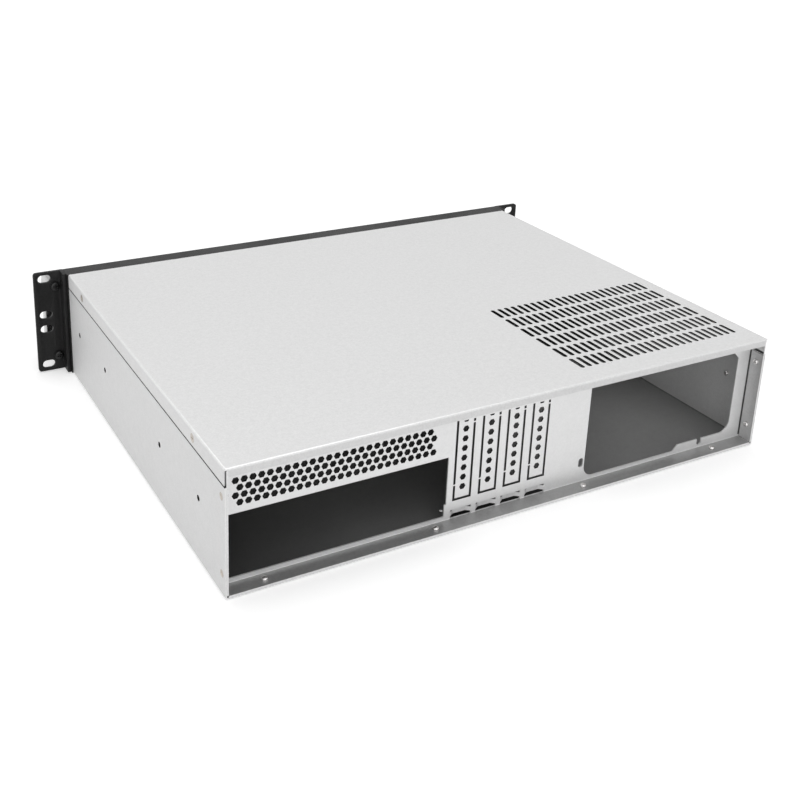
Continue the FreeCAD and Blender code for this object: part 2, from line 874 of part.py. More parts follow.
def handle(side):
    """Bow handle in front of an ear, with a threaded hole in each foot."""
    x = side * handle_x - handle_width / 2
    top = mid_height + (handle_pitch + handle_thick) / 2
    low = 2 * mid_height - top
    front = y_face - handle_reach
    bow = rounded_prism([V(x, y_face, low), V(x, front, low), V(x, front, top), V(x, y_face, top)],
                        [0, handle_outer_r, handle_outer_r, 0], V(handle_width, 0, 0))
    inner = [V(x, y_face + run_out, low + handle_thick), V(x, front + handle_thick, low + handle_thick),
             V(x, front + handle_thick, top - handle_thick), V(x, y_face + run_out, top - handle_thick)]
    finger_gap = rounded_prism(inner, [0, handle_inner_r, handle_inner_r, 0], V(handle_width, 0, 0))
    tools = [finger_gap]
    depth = pan_screw[3] - ear_sheet + screw_end_gap
    for place_at in handle_screw_places(side):
        foot = V(place_at.x, y_face, place_at.z)
        tools.append(drill(pan_screw[2] + hole_gap, foot, V(0, -1, 0), depth))
    return bow.cut(tools)


def handle_screws():
    """Raised screws that hold the handles, their heads behind the ears."""
    screws = []
    for side in (-1, 1):
        for place_at in handle_screw_places(side):
            screws.append(place(pan_head(pan_screw), place_at, V(0, -1, 0)))
    return Part.makeCompound(screws)


def drive_cage():
    """Cage for the drive bay: two walls and a top from one sheet, its feet turned in."""
    x0 = bay_x0 - sheet
    x1 = bay_x1 + sheet
    z1 = bay_z0 + bay_height + sheet
    y0 = y_face + cage_front
    y1 = y0 + cage_length

    def folds(middle):
        return at(middle.z, z1) and not at(middle.x, bay_mid)
    cage = folded_box(x0, x1, y0, y1, sheet, z1, ("y0", "y1"), folds)
    tools = [block(bay_x0 + cage_foot, bay_x1 - cage_foot, y0 - run_out, y1 + run_out,
                   sheet - run_out, 2 * sheet + run_out)]
    y_mid = (y0 + y1) / 2
    for side in (-1, 1):
        x = bay_mid + side * bay_width / 4
        tools.append(block(x - cage_slot_width / 2, x + cage_slot_width / 2,
                           y_mid - cage_slot_length / 2, y_mid + cage_slot_length / 2,
                           z1 - 2 * sheet, z1 + run_out))
    return cage.cut(tools)


def bay_cover():
    """Blank plastic cover of the drive bay, with a rim behind the panel and two side arms."""
    gap = bay_cover_gap
    x0 = bay_x0 + gap
    x1 = bay_x1 - gap
    z0 = bay_z0 + gap
    z1 = bay_z0 + bay_height - gap
    back = y_face + sheet + nest_gap
    face = block(x0, x1, y_face - bay_cover_proud, back, z0, z1)
    rim = block(x0 - bay_cover_rim, x1 + bay_cover_rim, back, back + bay_cover_back,
                max(z0 - bay_cover_rim, sheet), z1 + bay_cover_rim)
    z_mid = (z0 + z1) / 2
    arms = []
    for side in (-1, 1):
        x = bay_mid + side * (bay_width / 2 - bay_leg_inset)
        arms.append(block(x, x - side * bay_leg_thick, back + bay_cover_back,
                          back + bay_cover_back + bay_leg_length,
                          z_mid - bay_leg_height / 2, z_mid + bay_leg_height / 2))
    return face.fuse([rim] + arms)


def psu_stop():
    """Angle on the floor that keeps the power supply from sliding forward."""
    x_mid = (psu_x0 + psu_x1) / 2
    x0 = x_mid - psu_stop_width / 2
    x1 = x_mid + psu_stop_width / 2
    y_back = y_panel - sheet - psu_depth - seam_gap
    points = [V(x0, y_back, sheet), V(x0, y_back, sheet + psu_stop_height),
              V(x0, y_back - sheet, sheet + psu_stop_height), V(x0, y_back - sheet, 2 * sheet),
              V(x0, y_back - psu_stop_foot, 2 * sheet), V(x0, y_back - psu_stop_foot, sheet)]
    return rounded_prism(points, [bend, 0, 0, 0, 0, 0], V(x1 - x0, 0, 0))


def board_screw_places():
    """Places of the two screws on the back of the control board."""
    z = control_height
    y = board_y + board_thick
    z += io_board_height / 2 - board_screw_drop
    return [V(x, y, z) for x in (io_board_x0 + io_board_margin, io_board_x1 - io_board_margin)]


def io_board():
    """Small circuit board behind the front controls."""
    z0 = control_height - io_board_height / 2
    board = block(io_board_x0, io_board_x1, board_y, board_y + board_thick, z0, z0 + io_board_height)
    radius = small_pan_screw[2] + hole_gap
    depth = board_thick + run_out
    return board.cut([drill(radius, p, V(0, -1, 0), depth) for p in board_screw_places()])


def io_spacers():
    """Hexagonal spacers welded to the back of the front panel, holding the board."""
    studs = []
    y = y_face + sheet
    for place_at in board_screw_places():
        foot = V(place_at.x, y, place_at.z)
        stud = place(hexagon(spacer_flats, board_y - y), foot, V(0, 1, 0))
        end = V(place_at.x, board_y, place_at.z)
        depth = small_pan_screw[3] - board_thick + screw_end_gap
        studs.append(stud.cut(drill(spacer_bore_r + hole_gap, end, V(0, -1, 0), depth)))
    return Part.makeCompound(studs)


def io_board_screws():
    """Raised screws that hold the control board."""
    screws = [place(pan_head(small_pan_screw), p, V(0, -1, 0)) for p in board_screw_places()]
    return Part.makeCompound(screws)


def usb_sockets():
    """Two flat sockets, each a shell with a tongue inside."""
    sockets = []
    front = y_face + nest_gap
    for index in (4, 5):
        x = control_x(index)
        z = control_height
        shell = block(x - usb_width / 2, x + usb_width / 2, front, board_y,
                      z - usb_height / 2, z + usb_height / 2)
        mouth = block(x - usb_width / 2 + usb_wall, x + usb_width / 2 - usb_wall, front - run_out,
                      board_y - usb_tongue, z - usb_height / 2 + usb_wall, z + usb_height / 2 - usb_wall)
        tongue = block(x - usb_width / 2 + 2 * usb_wall, x + usb_width / 2 - 2 * usb_wall,
                       front + usb_wall, board_y - usb_tongue, z + usb_wall / 2,
                       z + usb_wall / 2 + usb_tongue)
        sockets.append(shell.cut(mouth).fuse(tongue))
    return Part.makeCompound(sockets)


def status_lamps():
    """Two flat light pipes from the board to the front face."""
    lamps = []
    for index in (2, 3):
        x = control_x(index)
        lamps.append(block(x - lamp_width / 2, x + lamp_width / 2, y_face - lamp_proud, board_y,
                           control_height - lamp_height / 2, control_height + lamp_height / 2))
    return Part.makeCompound(lamps)


def button(index, size):
    """A push button: cap, retaining flange behind the panel, and a stem to its switch."""
    x = control_x(index)
    z = control_height
    width, height = size
    flange_y = y_face + sheet + nest_gap
    cap = block(x - width / 2, x + width / 2, y_face - cap_proud, flange_y, z - height / 2, z + height / 2)
    reach_x = width / 2 + cap_flange
    reach_z = height / 2 + cap_flange
    flange = block(x - reach_x, x + reach_x, flange_y, flange_y + cap_flange_thick,
                   z - reach_z, z + reach_z)
    stem = block(x - stem_size / 2, x + stem_size / 2, flange_y + cap_flange_thick, plunger_front(),
                 z - stem_size / 2, z + stem_size / 2)
    return cap.fuse([flange, stem])


def plunger_front():
    """Front end of a switch's plunger at rest, where the stem meets it."""
    return board_y - switch_thick - button_travel - seam_gap


def plunger(index):
    """The moving plunger of a switch."""
    x = control_x(index)
    z = control_height
    reach = plunger_size / 2
    y = plunger_front()
    return block(x - reach, x + reach, y, y + plunger_length, z - reach, z + reach)


def switch(index):
    """The fixed body of a switch, with the well that its plunger slides in."""
    x = control_x(index)
    z = control_height
    reach = switch_size / 2
    body = block(x - reach, x + reach, board_y - switch_thick, board_y, z - reach, z + reach)
    well = plunger_size / 2 + plunger_gap
    depth = plunger_front() + plunger_length + button_travel + seam_gap
    return body.cut(block(x - well, x + well, board_y - switch_thick - run_out, depth, z - well, z + well))


os.makedirs("parts", exist_ok=True)
save("base_pan", base_pan())
save("rear_panel", rear_panel())
save("top_cover", top_cover())
save("front_panel", front_panel())
save("ear_left", ear(-1))
save("ear_right", ear(1))
save("handle_left", handle(-1))
save("handle_right", handle(1))
save("handle_screws", handle_screws())
save("ear_screws", ear_screws())
save("cover_screws", cover_screws())
save("rear_rivets", rear_rivets())
save("drive_cage", drive_cage())
save("bay_cover", bay_cover())
save("psu_stop", psu_stop())
save("io_board", io_board())
save("io_spacers", io_spacers())
save("io_board_screws", io_board_screws())
save("usb_sockets", usb_sockets())
save("status_lamps", status_lamps())
save("power_button", button(0, power_cap))
save("power_plunger", plunger(0))
save("power_switch", switch(0))
save("reset_button", button(1, reset_cap))
save("reset_plunger", plunger(1))
save("reset_switch", switch(1))
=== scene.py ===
"""An empty rackmount server case, two rack units high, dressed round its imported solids."""

import logging
import math
from collections.abc import Callable, Iterator, Sequence
from contextlib import contextmanager
from dataclasses import dataclass
from enum import Enum

import bmesh
import bpy
from mathutils import Matrix, Vector


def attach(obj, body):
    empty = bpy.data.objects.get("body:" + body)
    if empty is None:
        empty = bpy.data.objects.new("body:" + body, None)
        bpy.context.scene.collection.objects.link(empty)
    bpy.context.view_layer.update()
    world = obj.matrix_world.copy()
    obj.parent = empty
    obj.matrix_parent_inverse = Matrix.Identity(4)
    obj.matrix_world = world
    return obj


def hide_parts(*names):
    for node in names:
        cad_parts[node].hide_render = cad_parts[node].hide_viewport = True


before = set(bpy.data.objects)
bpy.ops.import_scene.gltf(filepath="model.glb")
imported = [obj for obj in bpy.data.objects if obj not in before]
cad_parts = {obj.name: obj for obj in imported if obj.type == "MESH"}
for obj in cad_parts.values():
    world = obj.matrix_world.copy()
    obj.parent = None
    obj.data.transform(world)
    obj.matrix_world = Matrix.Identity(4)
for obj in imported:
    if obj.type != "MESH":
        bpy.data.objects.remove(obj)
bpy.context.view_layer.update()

LOG = logging.getLogger("server_case")
MM = 0.001
Colour = tuple[float, float, float]
Place = tuple[float, float, float]
Ring = tuple[float, float]

# When a direction lies along an axis or level, and when two places are the same.
SQUARE_ON = 0.9
LEVEL = 0.1
MERGE = 1e-6
NEAR = 1e-5

# How far a tool goes past what it cuts, the room round a screw, and the turn between screws.
PAST = 1.0 * MM
SCREW_GAP = 0.15 * MM
SCREW_TURN = 31.0

# Sizes and strengths that the finishes share.
COARSE_GRAIN = 0.31
FINE_SHARE = 0.7
MARKS_PER_METRE = 14.0
CRYSTAL_PUSH = 0.004
CRYSTAL_SOFTNESS = 0.45
BUMP_DISTANCE = 0.0004
COAT_ROUGHNESS = 0.12
TONE_SPREAD = 0.85


class Side(Enum):
    """The two sides of the case, as the sign of their X."""

    LEFT = -1
    RIGHT = 1


class Body(Enum):
    """What a piece moves with."""

    CASE = "case"
    POWER_KEY = "power_key"
    RESET_KEY = "reset_key"


class Faces(Enum):
    """Which faces of a sheet a zone takes in."""

    ALL = "all"
    FACING = "facing"
    EDGES = "edges"


class Bench:
    """Hand tools: starting, picking, shaping and finishing a piece."""

    @staticmethod
    def clear() -> None:
        """Leaves nothing selected."""
        bpy.ops.object.select_all(action="DESELECT")

    @staticmethod
    def alone(piece: bpy.types.Object) -> None:
        """Makes one piece the only selected and the active one."""
        Bench.clear()
        piece.select_set(True)
        bpy.context.view_layer.objects.active = piece

    @staticmethod
    @contextmanager
    def editing(piece: bpy.types.Object) -> Iterator[None]:
        """Opens a piece in edit mode with nothing picked, and closes it again.

        Args:
            piece: The piece.

        Yields:
            Nothing, while the piece is open.
        """
        Bench.alone(piece)
        bpy.ops.object.mode_set(mode="EDIT")
        bpy.ops.mesh.select_all(action="DESELECT")
        yield
        bpy.ops.object.mode_set(mode="OBJECT")

    @staticmethod
    def pick(piece: bpy.types.Object, parts: Sequence[object],
             test: Callable[[object], bool]) -> None:
        """Picks those faces or edges of a piece in edit mode that a test accepts, and no others.

        Args:
            piece: The piece that is open in edit mode.
            parts: Its faces or its edges.
            test: Takes one of them.
        """
        for part in parts:
            part.select = False
        for part in parts:
            if test(part):
                part.select = True
        bmesh.from_edit_mesh(piece.data).select_flush_mode()
        bmesh.update_edit_mesh(piece.data)

    @staticmethod
    def pick_faces(piece: bpy.types.Object, test: Callable[[Vector, Vector], bool]) -> None:
        """Picks the faces that a test accepts, in edit mode.

        Args:
            piece: The piece that is open in edit mode.
            test: Takes a face's middle and its normal.
        """
        bpy.context.tool_settings.mesh_select_mode = (False, False, True)
        mesh = bmesh.from_edit_mesh(piece.data)
        mesh.normal_update()
        Bench.pick(piece, mesh.faces, lambda face: test(face.calc_center_median(), face.normal))

    @staticmethod
    def pick_edges(piece: bpy.types.Object, test: Callable[[Vector, Vector], bool]) -> None:
        """Picks the edges that a test accepts, in edit mode.

        Args:
            piece: The piece that is open in edit mode.
            test: Takes an edge's middle and its direction.
        """
        def accepts(edge: bmesh.types.BMEdge) -> bool:
            """Asks the test about one edge, unless it has no length."""
            first, last = (vert.co for vert in edge.verts)
            length = (last - first).length
            return bool(length) and test((first + last) / 2, (last - first).normalized())

        bpy.context.tool_settings.mesh_select_mode = (False, True, False)
        Bench.pick(piece, bmesh.from_edit_mesh(piece.data).edges, accepts)

    @staticmethod
    def draw_out(x: float = 0.0, y: float = 0.0, z: float = 0.0) -> None:
        """Draws the picked faces or edges out by a distance along each axis."""
        bpy.ops.mesh.extrude_region_move(TRANSFORM_OT_translate={"value": (x, y, z)})

    @staticmethod
    def rod(name: str, radius: float, low: float, high: float, sides: int = 28) -> bpy.types.Object:
        """Adds a cylinder along Z between two heights.

        Args:
            name: The new piece's name.
            radius: Its radius.
            low: Height of its lower end.
            high: Height of its upper end.
            sides: How many sides it has.

        Returns:
            The new piece.
        """
        Bench.clear()
        bpy.ops.mesh.primitive_cylinder_add(vertices=sides, radius=radius, depth=high - low,
                                            location=(0, 0, (low + high) / 2))
        return Bench.settle(name)

    @staticmethod
    def bar(name: str, low: Sequence[float], high: Sequence[float]) -> bpy.types.Object:
        """Adds a box between two corners.

        Args:
            name: The new piece's name.
            low: Its lowest corner.
            high: Its highest corner.

        Returns:
            The new piece.
        """
        Bench.clear()
        middle = [(a + b) / 2 for a, b in zip(low, high)]
        bpy.ops.mesh.primitive_cube_add(size=1, location=middle)
        bpy.context.object.scale = [b - a for a, b in zip(low, high)]
        return Bench.settle(name)

    @staticmethod
    def settle(name: str) -> bpy.types.Object:
        """Names the active object and puts its place, turn and scale into its mesh.

        Args:
            name: The name.

        Returns:
            The object.
        """
        piece = bpy.context.object
        piece.name = name
        piece.data.name = name
        bpy.ops.object.transform_apply(location=True, rotation=True, scale=True)
        return piece

    @staticmethod
    def draw_rings(piece: bpy.types.Object, facing: float, start: Ring,
                   rings: Sequence[Ring]) -> None:
        """Draws a turned piece's end face out through rings of given radius and height.

        Args:
            piece: The piece.
            facing: 1 for the upper end face, -1 for the lower one.
            start: The end face's radius and height as it is.
            rings: Radius and height of each new ring.
        """
        radius, height = start
        with Bench.editing(piece):
            Bench.pick_faces(piece, lambda middle, normal: normal.z * facing > SQUARE_ON
                             and abs(middle.z - height) < MERGE and middle.xy.length < MERGE)
            for new_radius, new_height in rings:
                Bench.draw_out(z=new_height - height)
                factor = new_radius / radius
                bpy.ops.transform.resize(value=(factor, factor, 1),
                                         center_override=(0, 0, new_height))
                radius, height = new_radius, new_height

    @staticmethod
    def bevel_edges(piece: bpy.types.Object, width: float, segments: int = 2,
                    angle: float = 40.0) -> None:
        """Rounds every edge that is sharper than an angle, with an applied modifier.

        Args:
            piece: The piece.
            width: Width of the rounding.
            segments: Faces across it.
            angle: Edges between flatter faces stay, in degrees.
        """
        Bench.alone(piece)
        rounding = piece.modifiers.new("edges", "BEVEL")
        rounding.width = width
        rounding.segments = segments
        rounding.limit_method = "ANGLE"
        rounding.angle_limit = math.radians(angle)
        rounding.harden_normals = False
        bpy.ops.object.modifier_apply(modifier=rounding.name)

    @staticmethod
    def cut(piece: bpy.types.Object, tool: bpy.types.Object) -> None:
        """Cuts a tool's shape out of a piece and removes the tool.

        Args:
            piece: The piece.
            tool: The tool, which is gone afterwards.
        """
        Bench.alone(piece)
        hollow = piece.modifiers.new("cut", "BOOLEAN")
        hollow.operation = "DIFFERENCE"
        hollow.solver = "EXACT"
        hollow.object = tool
        bpy.ops.object.modifier_apply(modifier=hollow.name)
        bpy.data.objects.remove(tool, do_unlink=True)

    @staticmethod
    def smooth(piece: bpy.types.Object, angle: float = 32.0) -> None:
        """Shades a piece smooth across edges flatter than an angle, in degrees."""
        Bench.alone(piece)
        bpy.ops.object.shade_smooth_by_angle(angle=math.radians(angle))

    @staticmethod
    def moved(piece: bpy.types.Object, place: Sequence[float], direction: Sequence[float],
              roll: float = 0.0) -> bpy.types.Object:
        """Moves a piece made along +Z to a place and a direction.

        Args:
            piece: The piece.
            place: Where its origin goes.
            direction: Where its +Z goes.
            roll: Turn about that direction, in degrees.

        Returns:
            The same piece.
        """
        Bench.alone(piece)
        turn = Vector(direction).to_track_quat("Z", "Y").to_matrix().to_4x4()
        rolled = turn @ Matrix.Rotation(math.radians(roll), 4, "Z")
        piece.matrix_world = Matrix.Translation(place) @ rolled
        bpy.ops.object.transform_apply(location=True, rotation=True, scale=True)
        return piece

    @staticmethod
    def copy_to(piece: bpy.types.Object, place: Sequence[float], direction: Sequence[float],
                roll: float = 0.0) -> bpy.types.Object:
        """Copies a piece made along +Z to a place and a direction.

        Args:
            piece: The model piece.
            place: Where the copy's origin goes.
            direction: Where its +Z goes.
            roll: Turn about that direction, in degrees.

        Returns:
            The copy, with its own mesh.
        """
        Bench.alone(piece)
        bpy.ops.object.duplicate()
        return Bench.moved(bpy.context.object, place, direction, roll)

    @staticmethod
    def join(name: str, pieces: Sequence[bpy.types.Object]) -> bpy.types.Object:
        """Joins pieces into one under a name.

        Args:
            name: The joined piece's name.
            pieces: What is joined.

        Returns:
            The joined piece.
        """
        Bench.clear()
        for piece in pieces:
            piece.select_set(True)
        bpy.context.view_layer.objects.active = pieces[0]
        if len(pieces) > 1:
            bpy.ops.object.join()
        pieces[0].name = name
        pieces[0].data.name = name
        return pieces[0]

    @staticmethod
    def remove(piece: bpy.types.Object) -> None:
        """Removes a model piece whose copies are made."""
        bpy.data.objects.remove(piece, do_unlink=True)


class Tree:
    """A node tree under construction."""

    def __init__(self, nodes: bpy.types.NodeTree) -> None:
        """Starts with an empty tree."""
        self.nodes = nodes
        nodes.nodes.clear()

    def add(self, kind: str, inputs: dict[str | int, object] | None = None,
            **settings: object) -> bpy.types.Node:
        """Adds a node.

        Args:
            kind: The node's type, without its ShaderNode prefix.
            inputs: A value or another node's output for each input.
            settings: The node's own properties.

        Returns:
            The new node.
        """
        prefix = "" if kind.startswith("Node") else "ShaderNode"
        node = self.nodes.nodes.new(prefix + kind)
        for key, value in settings.items():
            setattr(node, key, value)
        for key, value in (inputs or {}).items():
            if isinstance(value, bpy.types.NodeSocket):
                self.link(value, node.inputs[key])
            else:
                node.inputs[key].default_value = value
        return node

    def link(self, source: object, target: object) -> None:
        """Joins an output to an input."""
        self.nodes.links.new(source, target)

    def math(self, operation: str, a: object, b: object = 0.0) -> bpy.types.NodeSocket:
        """Adds a Math node and gives its output."""
        return self.add("Math", {0: a, 1: b}, operation=operation).outputs[0]

    def merge(self, mask: object, a: object, b: object) -> bpy.types.NodeSocket:
        """Mixes two numbers by a mask and gives the result."""
        return self.add("Mix", {0: mask, 2: a, 3: b}).outputs[0]

    def blend(self, mask: object, a: object, b: object) -> bpy.types.NodeSocket:
        """Mixes two colours by a mask and gives the result."""
        node = self.add("Mix", {0: mask, 6: a, 7: b}, data_type="RGBA")
        return node.outputs[2]

    def spread(self, value: object, low: float, high: float, to_low: float = 0.0,
               to_high: float = 1.0) -> bpy.types.NodeSocket:
        """Stretches a range of a value to another range and gives the result."""
        node = self.add("MapRange", {0: value, 1: low, 2: high, 3: to_low, 4: to_high})
        return node.outputs[0]


class Effects:
    """Surface effects shared by the finishes, each a node group built once."""

    @staticmethod
    def start(name: str, inputs: dict[str, float], outputs: Sequence[str],
              places: Sequence[str] = ()) -> tuple[Tree, object, object]:
        """Starts a node group.

        Args:
            name: The group's name.
            inputs: Its inputs and their first values.
            outputs: Its outputs.
            places: Its inputs that are places.

        Returns:
            The group's tree, its input node's outputs and its output node's inputs.
        """
        group = bpy.data.node_groups.new(name, "ShaderNodeTree")
        tree = Tree(group)
        for key in ("Vector", *places):
            group.interface.new_socket(key, in_out="INPUT", socket_type="NodeSocketVector")
        for key, value in inputs.items():
            socket = group.interface.new_socket(key, in_out="INPUT", socket_type="NodeSocketFloat")
            socket.default_value = value
        for key in outputs:
            group.interface.new_socket(key, in_out="OUTPUT", socket_type="NodeSocketFloat")
        return tree, tree.add("NodeGroupInput").outputs, tree.add("NodeGroupOutput").inputs

    @staticmethod
    def grain() -> bpy.types.NodeTree:
        """Fine even grain of a coated or rolled surface, as a shade and a height.

        Returns:
            The group.
        """
        name = "fine_grain"
        if name in bpy.data.node_groups:
            return bpy.data.node_groups[name]
        tree, given, result = Effects.start(name, {"Per Metre": 1200.0}, ("Shade", "Height"))
        fine = tree.add("TexNoise", {"Vector": given["Vector"], "Scale": given["Per Metre"],
                                     "Detail": 3.0, "Roughness": 0.65})
        coarse_scale = tree.math("MULTIPLY", given["Per Metre"], COARSE_GRAIN)
        coarse = tree.add("TexNoise", {"Vector": given["Vector"], "Scale": coarse_scale,
                                       "Detail": 2.0})
        both = tree.math("ADD", tree.math("MULTIPLY", fine.outputs[0], FINE_SHARE),
                         tree.math("MULTIPLY", coarse.outputs[0], 1 - FINE_SHARE))
        tree.link(tree.spread(both, 0.34, 0.66), result["Shade"])
        tree.link(both, result["Height"])
        return tree.nodes

    @staticmethod
    def bloom() -> bpy.types.NodeTree:
        """Soft cloudy crystals of a zinc coat, as a shade and a gloss mask.

        Returns:
            The group.
        """
        name = "zinc_bloom"
        if name in bpy.data.node_groups:
            return bpy.data.node_groups[name]
        tree, given, result = Effects.start(name, {"Per Metre": 160.0}, ("Shade", "Gloss"))
        bend = tree.add("TexNoise", {"Vector": given["Vector"], "Scale": given["Per Metre"],
                                     "Detail": 2.0})
        pushed = tree.add("VectorMath", {0: bend.outputs["Color"], "Scale": CRYSTAL_PUSH},
                          operation="SCALE")
        moved = tree.add("VectorMath", {0: given["Vector"], 1: bend.outputs["Color"],
                                        2: pushed.outputs[0]}, operation="MULTIPLY_ADD")
        cells = tree.add("TexVoronoi", {"Vector": moved.outputs[0], "Scale": given["Per Metre"],
                                        "Smoothness": CRYSTAL_SOFTNESS}, feature="SMOOTH_F1")
        tone = tree.add("SeparateColor", {0: cells.outputs["Color"]})
        tree.link(tone.outputs[0], result["Shade"])
        tree.link(tree.spread(bend.outputs[0], 0.35, 0.65), result["Gloss"])
        return tree.nodes

    @staticmethod
    def handling() -> bpy.types.NodeTree:
        """Faint wide marks of handling and dust, as one mask.

        Returns:
            The group.
        """
        name = "handling_marks"
        if name in bpy.data.node_groups:
            return bpy.data.node_groups[name]
        tree, given, result = Effects.start(name, {"Per Metre": MARKS_PER_METRE}, ("Mask",))
        wide = tree.add("TexNoise", {"Vector": given["Vector"], "Scale": given["Per Metre"],
                                     "Detail": 5.0, "Roughness": 0.6, "Distortion": 0.4})
        tree.link(tree.spread(wide.outputs[0], 0.42, 0.7), result["Mask"])
        return tree.nodes

    @staticmethod
    def box() -> bpy.types.NodeTree:
        """What lies between two corners, as one mask with soft borders.

        Returns:
            The group.
        """
        name = "between_corners"
        if name in bpy.data.node_groups:
            return bpy.data.node_groups[name]
        tree, given, result = Effects.start(name, {}, ("Mask",), ("Low", "High", "Border"))
        above = tree.add("VectorMath", {0: given["Vector"], 1: given["Low"]}, operation="SUBTRACT")
        below = tree.add("VectorMath", {0: given["High"], 1: given["Vector"]}, operation="SUBTRACT")
        nearest = None
        for corner in (above, below):
            share = tree.add("VectorMath", {0: corner.outputs[0], 1: given["Border"]},
                             operation="DIVIDE")
            for distance in tree.add("SeparateXYZ", {0: share.outputs[0]}).outputs:
                nearest = distance if nearest is None else tree.math("MINIMUM", nearest, distance)
        tree.link(tree.spread(nearest, 0.0, 1.0), result["Mask"])
        return tree.nodes

    @staticmethod
    def brushed() -> bpy.types.NodeTree:
        """Fine parallel lines along the piece's Y, as a shade and a height.

        Returns:
            The group.
        """
        name = "brushed_lines"
        if name in bpy.data.node_groups:
            return bpy.data.node_groups[name]
        tree, given, result = Effects.start(name, {"Per Metre": 2500.0}, ("Shade", "Height"))
        squeezed = tree.add("Mapping", {"Vector": given["Vector"], "Scale": (1.0, 0.02, 1.0)})
        lines = tree.add("TexNoise", {"Vector": squeezed.outputs[0], "Scale": given["Per Metre"],
                                      "Detail": 2.0})
        tree.link(tree.spread(lines.outputs[0], 0.3, 0.7), result["Shade"])
        tree.link(lines.outputs[0], result["Height"])
        return tree.nodes


@dataclass(frozen=True)
class Zone:
    """A box on a sheet in which some of its faces get a painted tone, painted shade or painted
    light, or are bare, glossier metal with a partly painted highlight.
    """

    low: Place
    high: Place
    tone: float
    faces: Faces = Faces.ALL
    axis: Place = (0.0, 1.0, 0.0)
    border: Place = (0.1, 0.1, 0.1)
    bare: bool = False

    def mask(self, tree: Tree, place: object) -> bpy.types.NodeSocket:
        """Builds the zone's mask.

        Args:
            tree: The material's tree.
            place: The outputs of its Texture Coordinate node.

        Returns:
            The mask.
        """
        box = tree.add("Group", node_tree=Effects.box())
        tree.link(place["Object"], box.inputs["Vector"])
        for key, size in (("Low", self.low), ("High", self.high), ("Border", self.border)):
            box.inputs[key].default_value = [value * MM for value in size]
        if self.faces is Faces.ALL:
            return box.outputs["Mask"]
        facing = tree.add("VectorMath", {0: place["Normal"], 1: self.axis}, operation="DOT_PRODUCT")
        along = facing.outputs["Value"]
        if self.faces is Faces.FACING:
            chosen = tree.math("GREATER_THAN", along, 0.5)
        else:
            chosen = tree.math("LESS_THAN", tree.math("ABSOLUTE", along), SQUARE_ON)
        return tree.math("MULTIPLY", box.outputs["Mask"], chosen)


@dataclass(frozen=True)
class Finish:
    """A surface finish: its colours, gloss and the sizes of what is seen in it."""

    name: str
    light: Colour
    dark: Colour
    metallic: float
    rough_low: float
    rough_high: float
    grain_per_metre: float = 1200.0
    grain_depth: float = 0.05
    bloom_per_metre: float = 0.0
    bloom_share: float = 0.0
    brushed: bool = False
    coat: float = 0.0
    specular: float = 0.5
    zones: tuple[Zone, ...] = ()

    def material(self) -> bpy.types.Material:
        """Builds the material, or gives the one that is already built.

        Returns:
            The material.
        """
        if self.name in bpy.data.materials:
            return bpy.data.materials[self.name]
        material = bpy.data.materials.new(self.name)
        material.use_nodes = True
        tree = Tree(material.node_tree)
        place = tree.add("TexCoord").outputs
        texture = Effects.brushed() if self.brushed else Effects.grain()
        grain = self.group(tree, texture, place["Object"], self.grain_per_metre)
        marks = self.group(tree, Effects.handling(), place["Object"], MARKS_PER_METRE)
        shade = grain.outputs["Shade"]
        gloss = marks.outputs["Mask"]
        if self.bloom_share:
            bloom = self.group(tree, Effects.bloom(), place["Object"], self.bloom_per_metre)
            shade = tree.math("ADD", tree.math("MULTIPLY", shade, 1 - self.bloom_share),
                              tree.math("MULTIPLY", bloom.outputs["Shade"], self.bloom_share))
            gloss = tree.math("ADD", tree.math("MULTIPLY", gloss, 0.5),
                              tree.math("MULTIPLY", bloom.outputs["Gloss"], 0.5))
        colour = tree.blend(shade, (*self.dark, 1), (*self.light, 1))
        roughness = tree.spread(gloss, 0.0, 1.0, self.rough_low, self.rough_high)
        metallic = self.metallic
        # Each zone paints shade or light into the colour; a bare zone is glossier metal as well.
        for zone in self.zones:
            mask = zone.mask(tree, place)
            tone = tree.blend(shade, (*even(zone.tone * TONE_SPREAD), 1), (*even(zone.tone), 1))
            colour = tree.blend(mask, colour, tone)
            if zone.bare:
                roughness = tree.merge(mask, roughness, BARE_ROUGHNESS)
                metallic = tree.merge(mask, metallic, BARE_METALLIC)
        bump = tree.add("Bump", {"Strength": self.grain_depth, "Distance": BUMP_DISTANCE,
                                 "Height": grain.outputs["Height"]})
        shader = tree.add("BsdfPrincipled", {
            "Base Color": colour, "Metallic": metallic, "Roughness": roughness,
            "Coat Weight": self.coat, "Coat Roughness": COAT_ROUGHNESS,
            "Specular IOR Level": self.specular,
            "Normal": bump.outputs[0]})
        tree.add("OutputMaterial", {"Surface": shader.outputs[0]})
        return material

    @staticmethod
    def group(tree: Tree, effect: bpy.types.NodeTree, place: bpy.types.NodeSocket,
              per_metre: float) -> bpy.types.Node:
        """Places an effect's group in a material's tree at a given size.

        Args:
            tree: The material's tree.
            effect: The effect.
            place: Where on the surface it looks.
            per_metre: Its size.

        Returns:
            The group's node.
        """
        node = tree.add("Group", node_tree=effect)
        tree.link(place, node.inputs["Vector"])
        node.inputs["Per Metre"].default_value = per_metre
        return node


def even(value: float) -> Colour:
    """A neutral colour of one linear value."""
    return (value, value, value)
